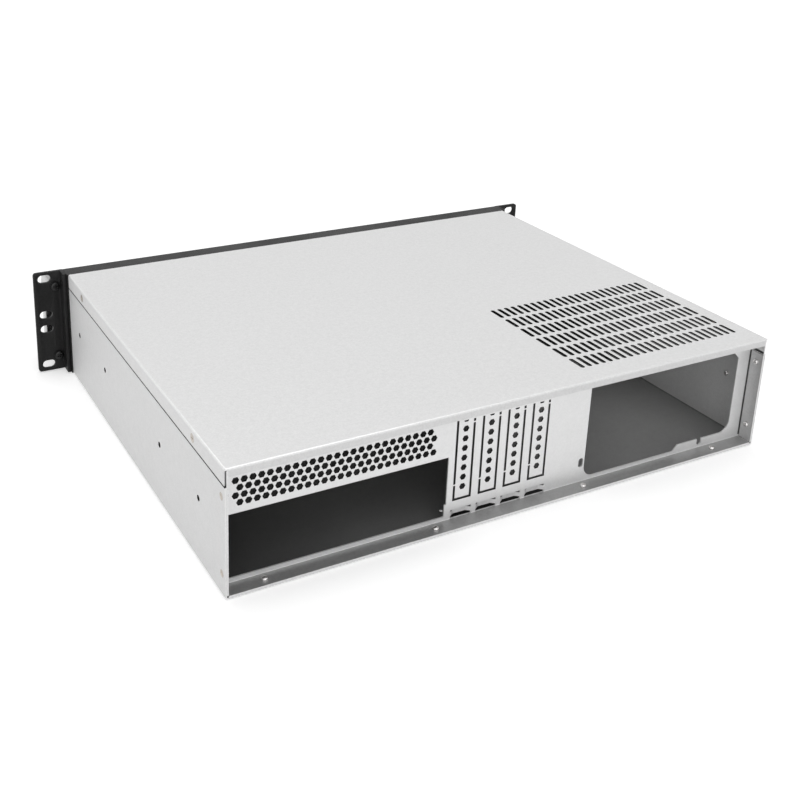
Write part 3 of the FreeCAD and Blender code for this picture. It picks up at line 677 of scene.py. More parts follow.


# Painted shade and painted light on the sheets: darker tones inside the case, in holes, gaps and
# recesses, lighter ones where light falls in, and the tone of bare metal, partly a painted
# highlight, with its gloss.
# Painted shade on the inner faces of the case's sheets.
INSIDE_PAINTED_SHADE = 0.27
# Painted shade on the underside of the cover.
ROOF_PAINTED_SHADE = 0.17
# Painted light: the inside is lighter where light falls in through the cover's slots.
INSIDE_PAINTED_LIGHT = 0.34
# Painted light on the inner face of the left wall.
WALL_PAINTED_LIGHT = 0.72
# Deeper painted shade: the floor behind the I/O opening, and a dark line along the rear panel's
# left fold.
DEEP_PAINTED_SHADE = 0.1
# Painted shade, near black, in the walls of holes and slots, along the seam under the cover's lip
# and on the floor under the slot covers.
HOLE_AND_GAP_PAINTED_SHADE = 0.015
# Bare, glossier metal along folds, rear edges, the opening's cut edges and the pressed strip; its
# lighter tone is partly a painted highlight.
BARE_METAL_AND_PAINTED_HIGHLIGHT = 0.84
BARE_ROUGHNESS = 0.38
BARE_METALLIC = 0.5
# Painted shade on the rear panel's side flanges in its recess.
RECESS_PAINTED_SHADE = 0.54
# Painted shade on the rear panel's bottom flange in its recess.
RECESS_FLOOR_PAINTED_SHADE = 0.4
# Painted shade under the cover and in its slots, and bare, glossier folds with a partly painted
# highlight.
COVER_ZONES = (
    Zone((-215.3, -200, 60), (215.3, 189.5, 87.95), ROOF_PAINTED_SHADE),
    Zone((-205, 50, 86), (-55, 180, 87.98), HOLE_AND_GAP_PAINTED_SHADE, Faces.EDGES, (0, 0, 1)),
    Zone((-217, -200, 86.7), (-214.7, 191, 89), BARE_METAL_AND_PAINTED_HIGHLIGHT, bare=True),
    Zone((214.7, -200, 86.7), (217, 191, 89), BARE_METAL_AND_PAINTED_HIGHLIGHT, bare=True),
    Zone((-217, 188.9, 86.7), (217, 191, 89), BARE_METAL_AND_PAINTED_HIGHLIGHT, bare=True),
)
# Painted shade and painted light inside the base pan, painted shade in its holes, seam and under
# the slot covers, and a bare, glossier rear edge with a partly painted highlight.
PAN_ZONES = (
    Zone((-215.3, -200, 0.5), (215.3, 189.9, 90), INSIDE_PAINTED_SHADE),
    Zone((-215.3, -60, 0.5), (-90, 189.9, 90), INSIDE_PAINTED_LIGHT, border=(50, 50, 0.1)),
    Zone((-215.3, -200, 2), (-213.5, 189.9, 90), WALL_PAINTED_LIGHT),
    Zone((110, -250, 0.5), (400, 230, 1.6), DEEP_PAINTED_SHADE, Faces.FACING, (0, 0, 1), (105, 0.1, 0.1)),
    Zone((-217, -150, 40), (217, 160, 50), HOLE_AND_GAP_PAINTED_SHADE, Faces.EDGES, (1, 0, 0)),
    Zone((-215.72, 181, 10), (215.72, 188, 75), HOLE_AND_GAP_PAINTED_SHADE, Faces.EDGES, (1, 0, 0)),
    Zone((-217, -150, 75.5), (217, 189.9, 77.5), HOLE_AND_GAP_PAINTED_SHADE),
    Zone((-30, 168, 0.5), (47, 177.4, 3), HOLE_AND_GAP_PAINTED_SHADE),
    Zone((-217, 189.85, -1), (217, 191, 90), BARE_METAL_AND_PAINTED_HIGHLIGHT, bare=True),
)
# Painted shade on the rear panel's inner face, in its punched fields, its recess and along its left
# fold, and bare, glossier edges and strip with a partly painted highlight.
PANEL_ZONES = (
    Zone((-217, 150, 0), (217, 177.5, 90), INSIDE_PAINTED_SHADE, Faces.FACING, (0, -1, 0)),
    Zone((56, 150, 51), (217, 177.96, 90), HOLE_AND_GAP_PAINTED_SHADE, Faces.EDGES, (0, 1, 0)),
    Zone((-30, 150, 14), (53, 177.96, 90), HOLE_AND_GAP_PAINTED_SHADE, Faces.EDGES, (0, 1, 0)),
    Zone((-217, 178.3, 0), (-212.6, 191, 79), RECESS_PAINTED_SHADE),
    Zone((212.6, 178.3, 0), (217, 191, 79), RECESS_PAINTED_SHADE),
    Zone((-212.6, 178.3, 0), (212.6, 191, 3.2), RECESS_FLOOR_PAINTED_SHADE),
    Zone((-217, 189.8, 0), (217, 191, 90), BARE_METAL_AND_PAINTED_HIGHLIGHT, bare=True),
    Zone((-205, 176.9, 3), (-58, 177.96, 83), BARE_METAL_AND_PAINTED_HIGHLIGHT, Faces.EDGES, (0, 1, 0), bare=True),
    Zone((-30, 170, 3.5), (53, 176.8, 7), BARE_METAL_AND_PAINTED_HIGHLIGHT, bare=True),
    Zone((-214, 177, 3), (-212.9, 179.2, 80), DEEP_PAINTED_SHADE, border=(0.3, 0.3, 0.3)),
)
COVER_SHEET = Finish("cover_sheet", even(0.78), even(0.69), 0.15, 0.48, 0.6, 950.0, 0.16,
                     zones=COVER_ZONES)
PAN_SHEET = Finish("pan_sheet", even(0.74), even(0.66), 0.2, 0.42, 0.55, 950.0, 0.14, 120.0, 0.1,
                   zones=PAN_ZONES)
PANEL_ZINC = Finish("panel_zinc", even(0.85), even(0.80), 0.4, 0.36, 0.46, 700.0, 0.0,
                    zones=PANEL_ZONES)
# Painted shade: the inner sheets are the case's zinc, darkened for the shade inside.
INNER_ZINC_PAINTED_SHADE = Finish("inner_zinc", even(0.30), even(0.24), 0.5, 0.34, 0.5, 1100.0, 0.02, 220.0, 0.4)
BLACK_COAT = Finish("black_powder_coat", even(0.018), even(0.009), 0.0, 0.4, 0.55, 1500.0, 0.5,
                    specular=0.17)
HANDLE_SATIN = Finish("handle_satin", even(0.42), even(0.34), 1.0, 0.2, 0.3, 1500.0, 0.03,
                      brushed=True)
BLACK_SCREW = Finish("black_screw", even(0.06), even(0.035), 0.5, 0.26, 0.4, 2600.0, 0.04,
                     specular=0.6)
DULL_NICKEL = Finish("dull_nickel", (0.56, 0.52, 0.47), (0.42, 0.38, 0.34), 0.85, 0.3, 0.45,
                     2400.0, 0.04)
RIVET_ALUMINIUM = Finish("rivet_aluminium", (0.76, 0.75, 0.74), (0.6, 0.59, 0.58), 0.9, 0.22, 0.36,
                         2600.0, 0.03)
BRASS = Finish("turned_brass", (0.74, 0.56, 0.27), (0.6, 0.44, 0.2), 1.0, 0.22, 0.36, 2600.0, 0.05)
BLACK_PLASTIC = Finish("black_plastic", even(0.034), even(0.022), 0.0, 0.42, 0.55, 2400.0, 0.25)
SWITCH_PLASTIC = Finish("switch_plastic", even(0.028), even(0.018), 0.0, 0.25, 0.36, 2400.0, 0.08)
PALE_PLASTIC = Finish("pale_plastic", (0.8, 0.79, 0.76), (0.72, 0.71, 0.68), 0.0, 0.3, 0.4,
                      1800.0, 0.06)
SOLDER_MASK = Finish("solder_mask", (0.035, 0.2, 0.09), (0.02, 0.14, 0.06), 0.0, 0.25, 0.4,
                     700.0, 0.05, coat=0.3)
TINNED_STEEL = Finish("tinned_steel", even(0.8), even(0.7), 1.0, 0.16, 0.28, 2200.0, 0.04)
LAMP_PLASTIC = Finish("lamp_plastic", (0.78, 0.84, 0.82), (0.7, 0.76, 0.74), 0.0, 0.12, 0.22,
                      900.0, 0.03, coat=0.5)

SHEET_FINISHES: dict[str, Finish] = {
    "base_pan": PAN_SHEET,
    "front_panel": BLACK_COAT,
    "drive_cage": INNER_ZINC_PAINTED_SHADE,
    "psu_stop": INNER_ZINC_PAINTED_SHADE,
}


def dress(piece: bpy.types.Object, finish: Finish) -> None:
    """Gives every material slot of a piece one finish.

    Args:
        piece: The piece.
        finish: The finish.
    """
    material = finish.material()
    if not piece.material_slots:
        piece.data.materials.append(material)
    for slot in piece.material_slots:
        slot.material = material


def dress_faces(piece: bpy.types.Object, finish: Finish, test: Callable[[Vector], bool]) -> None:
    """Gives the faces that a test accepts a second finish.

    Args:
        piece: The piece, which has its first finish.
        finish: The second finish.
        test: Takes a face's middle.
    """
    piece.data.materials.append(finish.material())
    for face in piece.data.polygons:
        if test(face.center):
            face.material_index = len(piece.data.materials) - 1


def hand_over(piece: bpy.types.Object, node: str, body: Body = Body.CASE) -> None:
    """Lets a finished piece stand for a CAD node.

    Args:
        piece: The finished piece.
        node: The node that it replaces.
        body: What it moves with.
    """
    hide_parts(node)
    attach(piece, body.value)
    LOG.info("%s stands for %s, %d faces", piece.name, node, len(piece.data.polygons))


class Head(Enum):
    """The two kinds of screw head."""

    RAISED = "raised"
    SUNK = "sunk"


@dataclass
class CrossScrew:
    """A screw with a cross recess, made along +Z from its seat or its flush face at the origin.

    The rings of a raised head's dome are shares of the head's radius and height.
    """

    name: str
    head: Head
    head_r: float
    head_h: float
    shank_r: float
    length: float
    pitch: float = 0.6 * MM
    root_share: float = 0.84
    tip_share: float = 0.7
    recess_share: float = 0.62
    recess_width: float = 0.24
    recess_start: float = 0.4 * MM
    recess_depth: float = 0.62
    recess_tip: float = 0.62
    rim: float = 0.1 * MM
    sink_start: float = 0.5 * MM
    shoulder: float = 0.5
    dome: tuple[Ring, ...] = ((0.95, 0.75), (0.8, 0.93), (0.55, 1.0))

    def thread(self, start: float) -> list[Ring]:
        """Lists the rings of the threaded shank and its tip.

        Args:
            start: Height where the shank starts.

        Returns:
            Radius and height of each ring.
        """
        rings = [(self.shank_r, start)]
        height = start + self.pitch
        end = start + self.length
        while height < end - self.pitch:
            rings.append((self.shank_r * self.root_share, height - self.pitch / 2))
            rings.append((self.shank_r, height))
            height += self.pitch
        return rings + [(self.shank_r * self.tip_share, end)]

    def recess_bar(self, turned: bool) -> bpy.types.Object:
        """Builds one bar of the cross-shaped tool, narrower at its tip.

        Args:
            turned: Whether it lies along Y rather than X.

        Returns:
            The tool.
        """
        long = self.head_r * self.recess_share
        wide = self.head_r * self.recess_width / 2
        top = 0.0 if self.head is Head.SUNK else -self.head_h
        depth = self.head_h * self.recess_depth
        reach = (wide, long) if turned else (long, wide)
        tool = Bench.bar("recess", (-reach[0], -reach[1], top - self.recess_start),
                         (reach[0], reach[1], top + depth))
        with Bench.editing(tool):
            Bench.pick_faces(tool, lambda middle, normal: normal.z > SQUARE_ON)
            bpy.ops.transform.resize(value=(self.recess_tip, self.recess_tip, 1),
                                     center_override=(0, 0, top + depth))
        return tool

    def build(self) -> bpy.types.Object:
        """Turns the head and the shank and cuts the recess.

        Returns:
            The screw.
        """
        if self.head is Head.SUNK:
            screw = Bench.rod(self.name, self.head_r, 0, self.rim)
            Bench.draw_rings(screw, 1, (self.head_r, self.rim), self.thread(self.head_h))
        else:
            shoulder = -self.shoulder * self.head_h
            screw = Bench.rod(self.name, self.head_r, shoulder, 0)
            dome = [(self.head_r * wide, -high * self.head_h) for wide, high in self.dome]
            Bench.draw_rings(screw, -1, (self.head_r, shoulder), dome)
            Bench.draw_rings(screw, 1, (self.head_r, 0), self.thread(0))
        for turned in (False, True):
            Bench.cut(screw, self.recess_bar(turned))
        Bench.smooth(screw)
        return screw

    def sink_tool(self, gap: float, depth: float) -> bpy.types.Object:
        """Builds the tool for the screw's countersunk hole, along +Z.

        Args:
            gap: Room round the screw.
            depth: How deep the hole goes.

        Returns:
            The tool.
        """
        tool = Bench.rod("sink", self.head_r + gap, -self.sink_start, 0)
        Bench.draw_rings(tool, 1, (self.head_r + gap, 0),
                         [(self.shank_r + gap, self.head_h), (self.shank_r + gap, depth)])
        return tool


EAR_SCREW = CrossScrew("ear_screw", Head.SUNK, 3.0 * MM, 1.6 * MM, 1.5 * MM, 5.0 * MM)
COVER_SCREW = CrossScrew("cover_screw", Head.SUNK, 3.0 * MM, 0.9 * MM, 1.5 * MM, 4.0 * MM)
HANDLE_SCREW = CrossScrew("handle_screw", Head.RAISED, 3.8 * MM, 2.4 * MM, 1.9 * MM, 9.0 * MM)
BOARD_SCREW = CrossScrew("board_screw", Head.RAISED, 2.8 * MM, 1.8 * MM, 1.4 * MM, 5.0 * MM)


@dataclass
class BlindRivet:
    """A blind rivet along +Z: a flush head at the origin and a formed tail past its grip.

    Its shapes are rings of a share of the radius, with a share of the tail or a depth in mm.
    """

    grip: float
    head_r: float = 2.55 * MM
    head_h: float = 0.8 * MM
    shank_r: float = 1.9 * MM
    tail_r: float = 2.1 * MM
    tail: float = 2.0 * MM
    rim: float = 0.08 * MM
    head_side: float = 0.35 * MM
    tail_shape: tuple[Ring, ...] = ((0.97, 0.0), (1.0, 0.35), (0.95, 0.65), (0.78, 0.88))
    tail_hollow: tuple[Ring, ...] = ((0.55, 0.1), (0.5, 0.45), (0.36, 0.45), (0.34, 0.08),
                                     (0.2, 0.0))
    head_hollow: tuple[Ring, ...] = ((0.52, 0.0), (0.48, 0.3), (0.3, 0.3), (0.26, 0.06))

    def build(self) -> bpy.types.Object:
        """Turns the rivet, with the mandrel's stub sunk in its head and seen in its tail.

        Returns:
            The rivet.
        """
        rivet = Bench.rod("rivet", self.head_r, 0, self.rim, 24)
        end = self.grip + self.tail
        shank = [(self.shank_r, self.head_h), (self.shank_r, self.grip)]
        bulge = [(self.tail_r * wide, self.grip + along * self.tail)
                 for wide, along in self.tail_shape]
        hollow = [(self.tail_r * wide, end - deep * MM) for wide, deep in self.tail_hollow]
        Bench.draw_rings(rivet, 1, (self.head_r, self.rim), shank + bulge + hollow)
        Bench.draw_rings(rivet, -1, (self.head_r, 0),
                         [(self.head_r * wide, deep * MM) for wide, deep in self.head_hollow])
        Bench.smooth(rivet, 40)
        dress(rivet, RIVET_ALUMINIUM)
        dress_faces(rivet, DULL_NICKEL, lambda middle: middle.z < self.head_side)
        return rivet


@dataclass
class PunchedPanel:
    """The recessed rear panel, taken from its CAD shape, with wider cuts round its slot covers."""

    slot_xs: tuple[float, ...] = (41.95 * MM, 21.63 * MM, 1.31 * MM, -19.01 * MM)
    slot_half: float = 6.9 * MM
    slot_low: float = 15.5 * MM
    slot_high: float = 80.0 * MM
    left_tab: tuple[float, float] = (26.49 * MM, 27.49 * MM)
    right_tab: tuple[float, float] = (70.8 * MM, 71.8 * MM)
    clearing: float = 0.5 * MM
    overlap: float = 0.2 * MM
    face_y: float = 178.0 * MM
    flat_angle: float = 0.5

    def twin(self) -> bpy.types.Object:
        """Copies the CAD node's mesh and merges its loose triangles.

        Returns:
            The copy.
        """
        panel = bpy.data.objects.new("punched_panel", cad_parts["rear_panel"].data.copy())
        bpy.context.scene.collection.objects.link(panel)
        with Bench.editing(panel):
            bpy.ops.mesh.select_all(action="SELECT")
            bpy.ops.mesh.remove_doubles(threshold=MERGE)
            bpy.ops.mesh.dissolve_limited(angle_limit=math.radians(self.flat_angle))
        return panel

    def strip(self, x0: float, x1: float, z0: float, z1: float) -> bpy.types.Object:
        """Adds a tool that clears one strip of a cut."""
        return Bench.bar("strip", (x0, self.face_y - 3 * PAST, z0), (x1, self.face_y + PAST, z1))

    def build(self) -> None:
        """Clears the cuts below and beside each slot cover, but for its tabs."""
        panel = self.twin()
        low = self.slot_low - self.clearing
        ledge = self.slot_low + self.overlap
        inner = self.slot_half - self.overlap
        outer = self.slot_half + self.clearing
        feet = [self.strip(x - outer, x + outer, low, ledge) for x in self.slot_xs]
        lefts = [self.strip(x + inner, x + outer, z0, z1) for x in self.slot_xs
                 for z0, z1 in ((ledge, self.left_tab[0]), (self.left_tab[1], self.slot_high))]
        rights = [self.strip(x - outer, x - inner, z0, z1) for x in self.slot_xs
                  for z0, z1 in ((ledge, self.right_tab[0]), (self.right_tab[1], self.slot_high))]
        for strips in (feet, lefts, rights):
            Bench.cut(panel, Bench.join("strips", strips))
        dress(panel, PANEL_ZINC)
        hand_over(panel, "rear_panel")


@dataclass
class RearJoints:
    """The rivets that join the rear panel, the walls and the floor."""

    half: float = 215.8 * MM
    rivet_y: float = 184.4 * MM
    wall_heights: tuple[float, float] = (15.0 * MM, 67.5 * MM)
    wall_grip: float = 2.1 * MM
    floor_xs: tuple[float, ...] = (188.0 * MM, 65.4 * MM, -57.2 * MM, -179.8 * MM)
    floor_grip: float = 2.0 * MM
    lone_place: Place = (-215.8 * MM, 158.0 * MM, 46.0 * MM)
    lone_grip: float = 1.0 * MM

    def build(self) -> None:
        """Models one rivet of each grip and copies it to its places."""
        copies = []
        wall = BlindRivet(self.wall_grip).build()
        for side in Side:
            for height in self.wall_heights:
                place = (side.value * self.half, self.rivet_y, height)
                copies.append(Bench.copy_to(wall, place, (-side.value, 0, 0)))
        floor = BlindRivet(self.floor_grip).build()
        for x in self.floor_xs:
            copies.append(Bench.copy_to(floor, (x, self.rivet_y, 0), (0, 0, 1)))
        lone = BlindRivet(self.lone_grip).build()
        copies.append(Bench.copy_to(lone, self.lone_place, (1, 0, 0)))
        for model in (wall, floor, lone):
            Bench.remove(model)
        rivets = Bench.join("blind_rivets", copies)
        hand_over(rivets, "rear_rivets")


@dataclass
class RackEar:
    """A rack ear: a slotted flange, a leg along the body, its handle and its screws."""

    side: Side
    leg_inner: float = 216.8 * MM
    leg_outer: float = 219.8 * MM
    flange_outer: float = 241.3 * MM
    front: float = -160.0 * MM
    sheet: float = 3.0 * MM
    leg: float = 13.5 * MM
    height: float = 88.0 * MM
    corner: float = 2.4 * MM
    edge: float = 0.4 * MM
    slot_middle: float = 232.55 * MM
    slot_long: float = 10.4 * MM
    slot_high: float = 6.8 * MM
    slot_round: float = 0.49
    slot_heights: tuple[float, ...] = (5.9 * MM, 37.65 * MM, 50.35 * MM, 82.1 * MM)
    leg_screw_y: float = -151.8 * MM
    leg_screw_heights: tuple[float, ...] = (9.5 * MM, 44.0 * MM, 78.5 * MM)
    handle_x: float = 224.0 * MM
    handle_heights: tuple[float, float] = (13.0 * MM, 75.0 * MM)

    def at(self, x: float) -> float:
        """Gives a place on this ear's side of the case."""
        return self.side.value * x

    def span(self, x0: float, x1: float) -> tuple[float, float]:
        """Gives two places on this ear's side, the lower first."""
        low, high = sorted((self.at(x0), self.at(x1)))
        return low, high

    def slot_tool(self, height: float) -> bpy.types.Object:
        """Builds the tool for one slot with round ends.

        Args:
            height: Height of the slot's middle.

        Returns:
            The tool.
        """
        low, high = self.span(self.slot_middle - self.slot_long / 2,
                              self.slot_middle + self.slot_long / 2)
        tool = Bench.bar("slot", (low, self.front - PAST, height - self.slot_high / 2),
                         (high, self.front + self.sheet + PAST, height + self.slot_high / 2))
        with Bench.editing(tool):
            Bench.pick_edges(tool, lambda middle, along: abs(along.y) > SQUARE_ON)
            bpy.ops.mesh.bevel(offset=self.slot_high * self.slot_round, segments=8, affect="EDGES")
        return tool

    def build_angle(self) -> None:
        """Builds the ear itself from its flange, with the leg drawn out behind."""
        low, high = self.span(self.leg_inner, self.flange_outer)
        ear = Bench.bar(f"rack_ear_{self.side.name.lower()}", (low, self.front, 0),
                        (high, self.front + self.sheet, self.height))
        with Bench.editing(ear):
            Bench.pick_edges(ear, lambda middle, along: abs(along.y) > SQUARE_ON
                             and abs(middle.x - self.at(self.flange_outer)) < NEAR)
            bpy.ops.mesh.bevel(offset=self.corner, segments=6, affect="EDGES")
            bpy.ops.mesh.select_all(action="SELECT")
            bpy.ops.mesh.bisect(plane_co=(self.at(self.leg_outer), 0, 0), plane_no=(1, 0, 0))
            Bench.pick_faces(ear, lambda middle, normal: normal.y > SQUARE_ON
                             and abs(middle.x) < self.leg_outer)
            Bench.draw_out(y=self.leg - self.sheet)
        for height in self.slot_heights:
            Bench.cut(ear, self.slot_tool(height))
        Bench.bevel_edges(ear, self.edge, 2, 50)
        for place in self.leg_screw_places():
            tool = EAR_SCREW.sink_tool(SCREW_GAP, self.sheet + PAST)
            Bench.cut(ear, Bench.moved(tool, place, (-self.side.value, 0, 0)))
        for place in self.handle_screw_places():
            tool = Bench.rod("bore", HANDLE_SCREW.shank_r + SCREW_GAP, -PAST, self.sheet + PAST, 24)
            Bench.cut(ear, Bench.moved(tool, place, (0, -1, 0)))
        Bench.smooth(ear)
        dress(ear, BLACK_COAT)
        hand_over(ear, f"ear_{self.side.name.lower()}")

    def leg_screw_places(self) -> list[Place]:
        """Lists where the leg's screws are, on its outer face."""
        return [(self.at(self.leg_outer), self.leg_screw_y, height)
                for height in self.leg_screw_heights]

    def handle_screw_places(self) -> list[Place]:
        """Lists where the handle's screws are, on the flange's back."""
        return [(self.at(self.handle_x), self.front + self.sheet, height)
                for height in self.handle_heights]

    def build(self) -> None:
        """Builds the ear and its handle."""
        self.build_angle()
        BowHandle(self.side).build()


@dataclass
class BowHandle:
    """A bow handle bent from a flat bar."""

    side: Side
    middle: float = 224.0 * MM
    width: float = 8.0 * MM
    thick: float = 9.0 * MM
    low: float = 8.5 * MM
    high: float = 79.5 * MM
    foot: float = -160.0 * MM
    front: float = -190.0 * MM
    bend_r: float = 12.0 * MM
    bend_steps: int = 8
    edge: float = 1.1 * MM

    def build(self) -> None:
        """Draws the bar's section out from one foot, round two bends, to the other."""
        x = self.side.value * self.middle
        Bench.clear()
        bpy.ops.mesh.primitive_plane_add(size=1, location=(x, self.foot, self.low + self.thick / 2),
                                         rotation=(math.pi / 2, 0, 0))
        bpy.context.object.scale = (self.width, self.thick, 1)
        handle = Bench.settle(f"bow_handle_{self.side.name.lower()}")
        straight = self.foot - self.front - self.bend_r
        rise = self.high - self.low - 2 * self.bend_r
        low_bend = (x, self.front + self.bend_r, self.low + self.bend_r)
        high_bend = (x, self.front + self.bend_r, self.high - self.bend_r)
        with Bench.editing(handle):
            bpy.ops.mesh.select_all(action="SELECT")
            Bench.draw_out(y=-straight)
            bpy.ops.mesh.spin(steps=self.bend_steps, angle=math.pi / 2, center=low_bend,
                              axis=(1, 0, 0))
            Bench.draw_out(z=rise)
            bpy.ops.mesh.spin(steps=self.bend_steps, angle=math.pi / 2, center=high_bend,
                              axis=(1, 0, 0))
            Bench.draw_out(y=straight)
            bpy.ops.mesh.select_all(action="SELECT")
            bpy.ops.mesh.remove_doubles(threshold=MERGE)
            bpy.ops.mesh.normals_make_consistent(inside=False)
        Bench.bevel_edges(handle, self.edge, 3, 50)
        Bench.smooth(handle, 40)
        dress(handle, HANDLE_SATIN)
        hand_over(handle, f"handle_{self.side.name.lower()}")


@dataclass
class VentedCover:
    """The cover: a sheet folded down at its sides and rear, with its field of slots."""

    half: float = 215.8 * MM
    front: float = -144.2 * MM
    rear: float = 190.0 * MM
    lip_bottom: float = 76.6 * MM
    top: float = 88.0 * MM
    sheet: float = 1.0 * MM
    fold: float = 1.2 * MM
    rear_lip_bottom: float = 82.4 * MM
    lip_half: float = 213.7 * MM
    slot_width: float = 3.4 * MM
    slot_round: float = 0.48
    slot_length: float = 15.5 * MM
    first_slot: tuple[float, float] = (-201.6 * MM, 163.5 * MM)
    columns: int = 24
    rows: int = 6
    pitch_x: float = 6.22 * MM
    pitch_y: float = 19.0 * MM
    screw_ys: tuple[float, float] = (-105.5 * MM, 138.0 * MM)
    screw_z: float = 81.8 * MM

    def build_sheet(self) -> bpy.types.Object:
        """Builds the folded sheet without its openings.

        Returns:
            The sheet.
        """
        cover = Bench.bar("vented_cover", (-self.half, self.front, self.lip_bottom),
                          (self.half, self.rear, self.top))
        with Bench.editing(cover):
            Bench.pick_faces(cover, lambda middle, normal: min(normal.y, normal.z) < -SQUARE_ON)
            bpy.ops.mesh.delete(type="FACE")
            Bench.pick_edges(cover, lambda middle, along: middle.z > self.top - NEAR
                             and middle.y > self.front + NEAR and abs(along.z) < LEVEL)
            bpy.ops.mesh.bevel(offset=self.fold, segments=4, affect="EDGES")
        Bench.alone(cover)
        wall = cover.modifiers.new("sheet", "SOLIDIFY")
        wall.thickness = self.sheet
        wall.offset = -1
        wall.use_even_offset = True
        bpy.ops.object.modifier_apply(modifier=wall.name)
        return cover

    def slot_tools(self) -> bpy.types.Object:
        """Builds the tool for the whole field of slots with round ends.

        Returns:
            The tool.
        """
        x, y = self.first_slot
        wide, long = self.slot_width / 2, self.slot_length / 2
        tool = Bench.bar("slots", (x - wide, y - long, self.top - 3 * PAST),
                         (x + wide, y + long, self.top + PAST))
        with Bench.editing(tool):
            Bench.pick_edges(tool, lambda middle, along: abs(along.z) > SQUARE_ON)
            bpy.ops.mesh.bevel(offset=self.slot_width * self.slot_round, segments=4, affect="EDGES")
        for name, count, step in (("columns", self.columns, (self.pitch_x, 0, 0)),
                                  ("rows", self.rows, (0, -self.pitch_y, 0))):
            Bench.alone(tool)
            field = tool.modifiers.new(name, "ARRAY")
            field.count = count
            field.use_relative_offset = False
            field.use_constant_offset = True
            field.constant_offset_displace = step
            bpy.ops.object.modifier_apply(modifier=field.name)
        return tool

    def build(self) -> None:
        """Builds the cover and cuts its slots, rear lip, corner slits and screw holes."""
        cover = self.build_sheet()
        below = self.lip_bottom - PAST
        Bench.cut(cover, Bench.bar("rear_lip", (-self.lip_half, self.rear - 2 * self.sheet, below),
                                   (self.lip_half, self.rear + PAST, self.rear_lip_bottom)))
        for side in Side:
            low, high = sorted((side.value * self.lip_half, side.value * (self.half + PAST)))
            Bench.cut(cover, Bench.bar("slit", (low, self.rear - self.fold, below),
                                       (high, self.rear + PAST, self.top - self.sheet)))
        Bench.cut(cover, self.slot_tools())
        for place, direction in self.screw_places():
            tool = COVER_SCREW.sink_tool(SCREW_GAP, self.sheet + PAST)
            Bench.cut(cover, Bench.moved(tool, place, direction))
        Bench.smooth(cover, 30)
        dress(cover, COVER_SHEET)
        hand_over(cover, "top_cover")

    def screw_places(self) -> list[tuple[Place, Place]]:
        """Lists where the cover's screws are and where they point."""
        return [((side.value * self.half, y, self.screw_z), (-side.value, 0, 0))
                for side in Side for y in self.screw_ys]


@dataclass
class Screws:
    """Every screw of the case, one joined piece for each kind."""

    ears: Sequence[RackEar]
    cover: VentedCover
    board: "ControlBoard"

    def build(self) -> None:
        """Models each kind of screw once and copies it to its places."""
        leg = [(place, (-ear.side.value, 0, 0))
               for ear in self.ears for place in ear.leg_screw_places()]
        handle = [(place, (0, -1, 0)) for ear in self.ears for place in ear.handle_screw_places()]
        board = [(place, (0, -1, 0)) for place in self.board.screw_places()]
        self.place_all(EAR_SCREW, leg, "ear_screws", BLACK_SCREW)
        self.place_all(HANDLE_SCREW, handle, "handle_screws", BLACK_SCREW)
        self.place_all(COVER_SCREW, self.cover.screw_places(), "cover_screws", DULL_NICKEL)
        self.place_all(BOARD_SCREW, board, "io_board_screws", DULL_NICKEL)

    @staticmethod
    def place_all(kind: CrossScrew, places: Sequence[tuple[Place, Place]], node: str,
                  finish: Finish) -> None:
        """Copies one kind of screw to its places.

        Args:
            kind: The screw.
            places: Where each goes, and its direction.
            node: The CAD node that they stand for.
            finish: Their finish.
        """
        model = kind.build()
        copies = [Bench.copy_to(model, place, direction, roll=SCREW_TURN * index)
                  for index, (place, direction) in enumerate(places)]
        Bench.remove(model)
        screws = Bench.join(kind.name + "s", copies)
        dress(screws, finish)
        hand_over(screws, node)


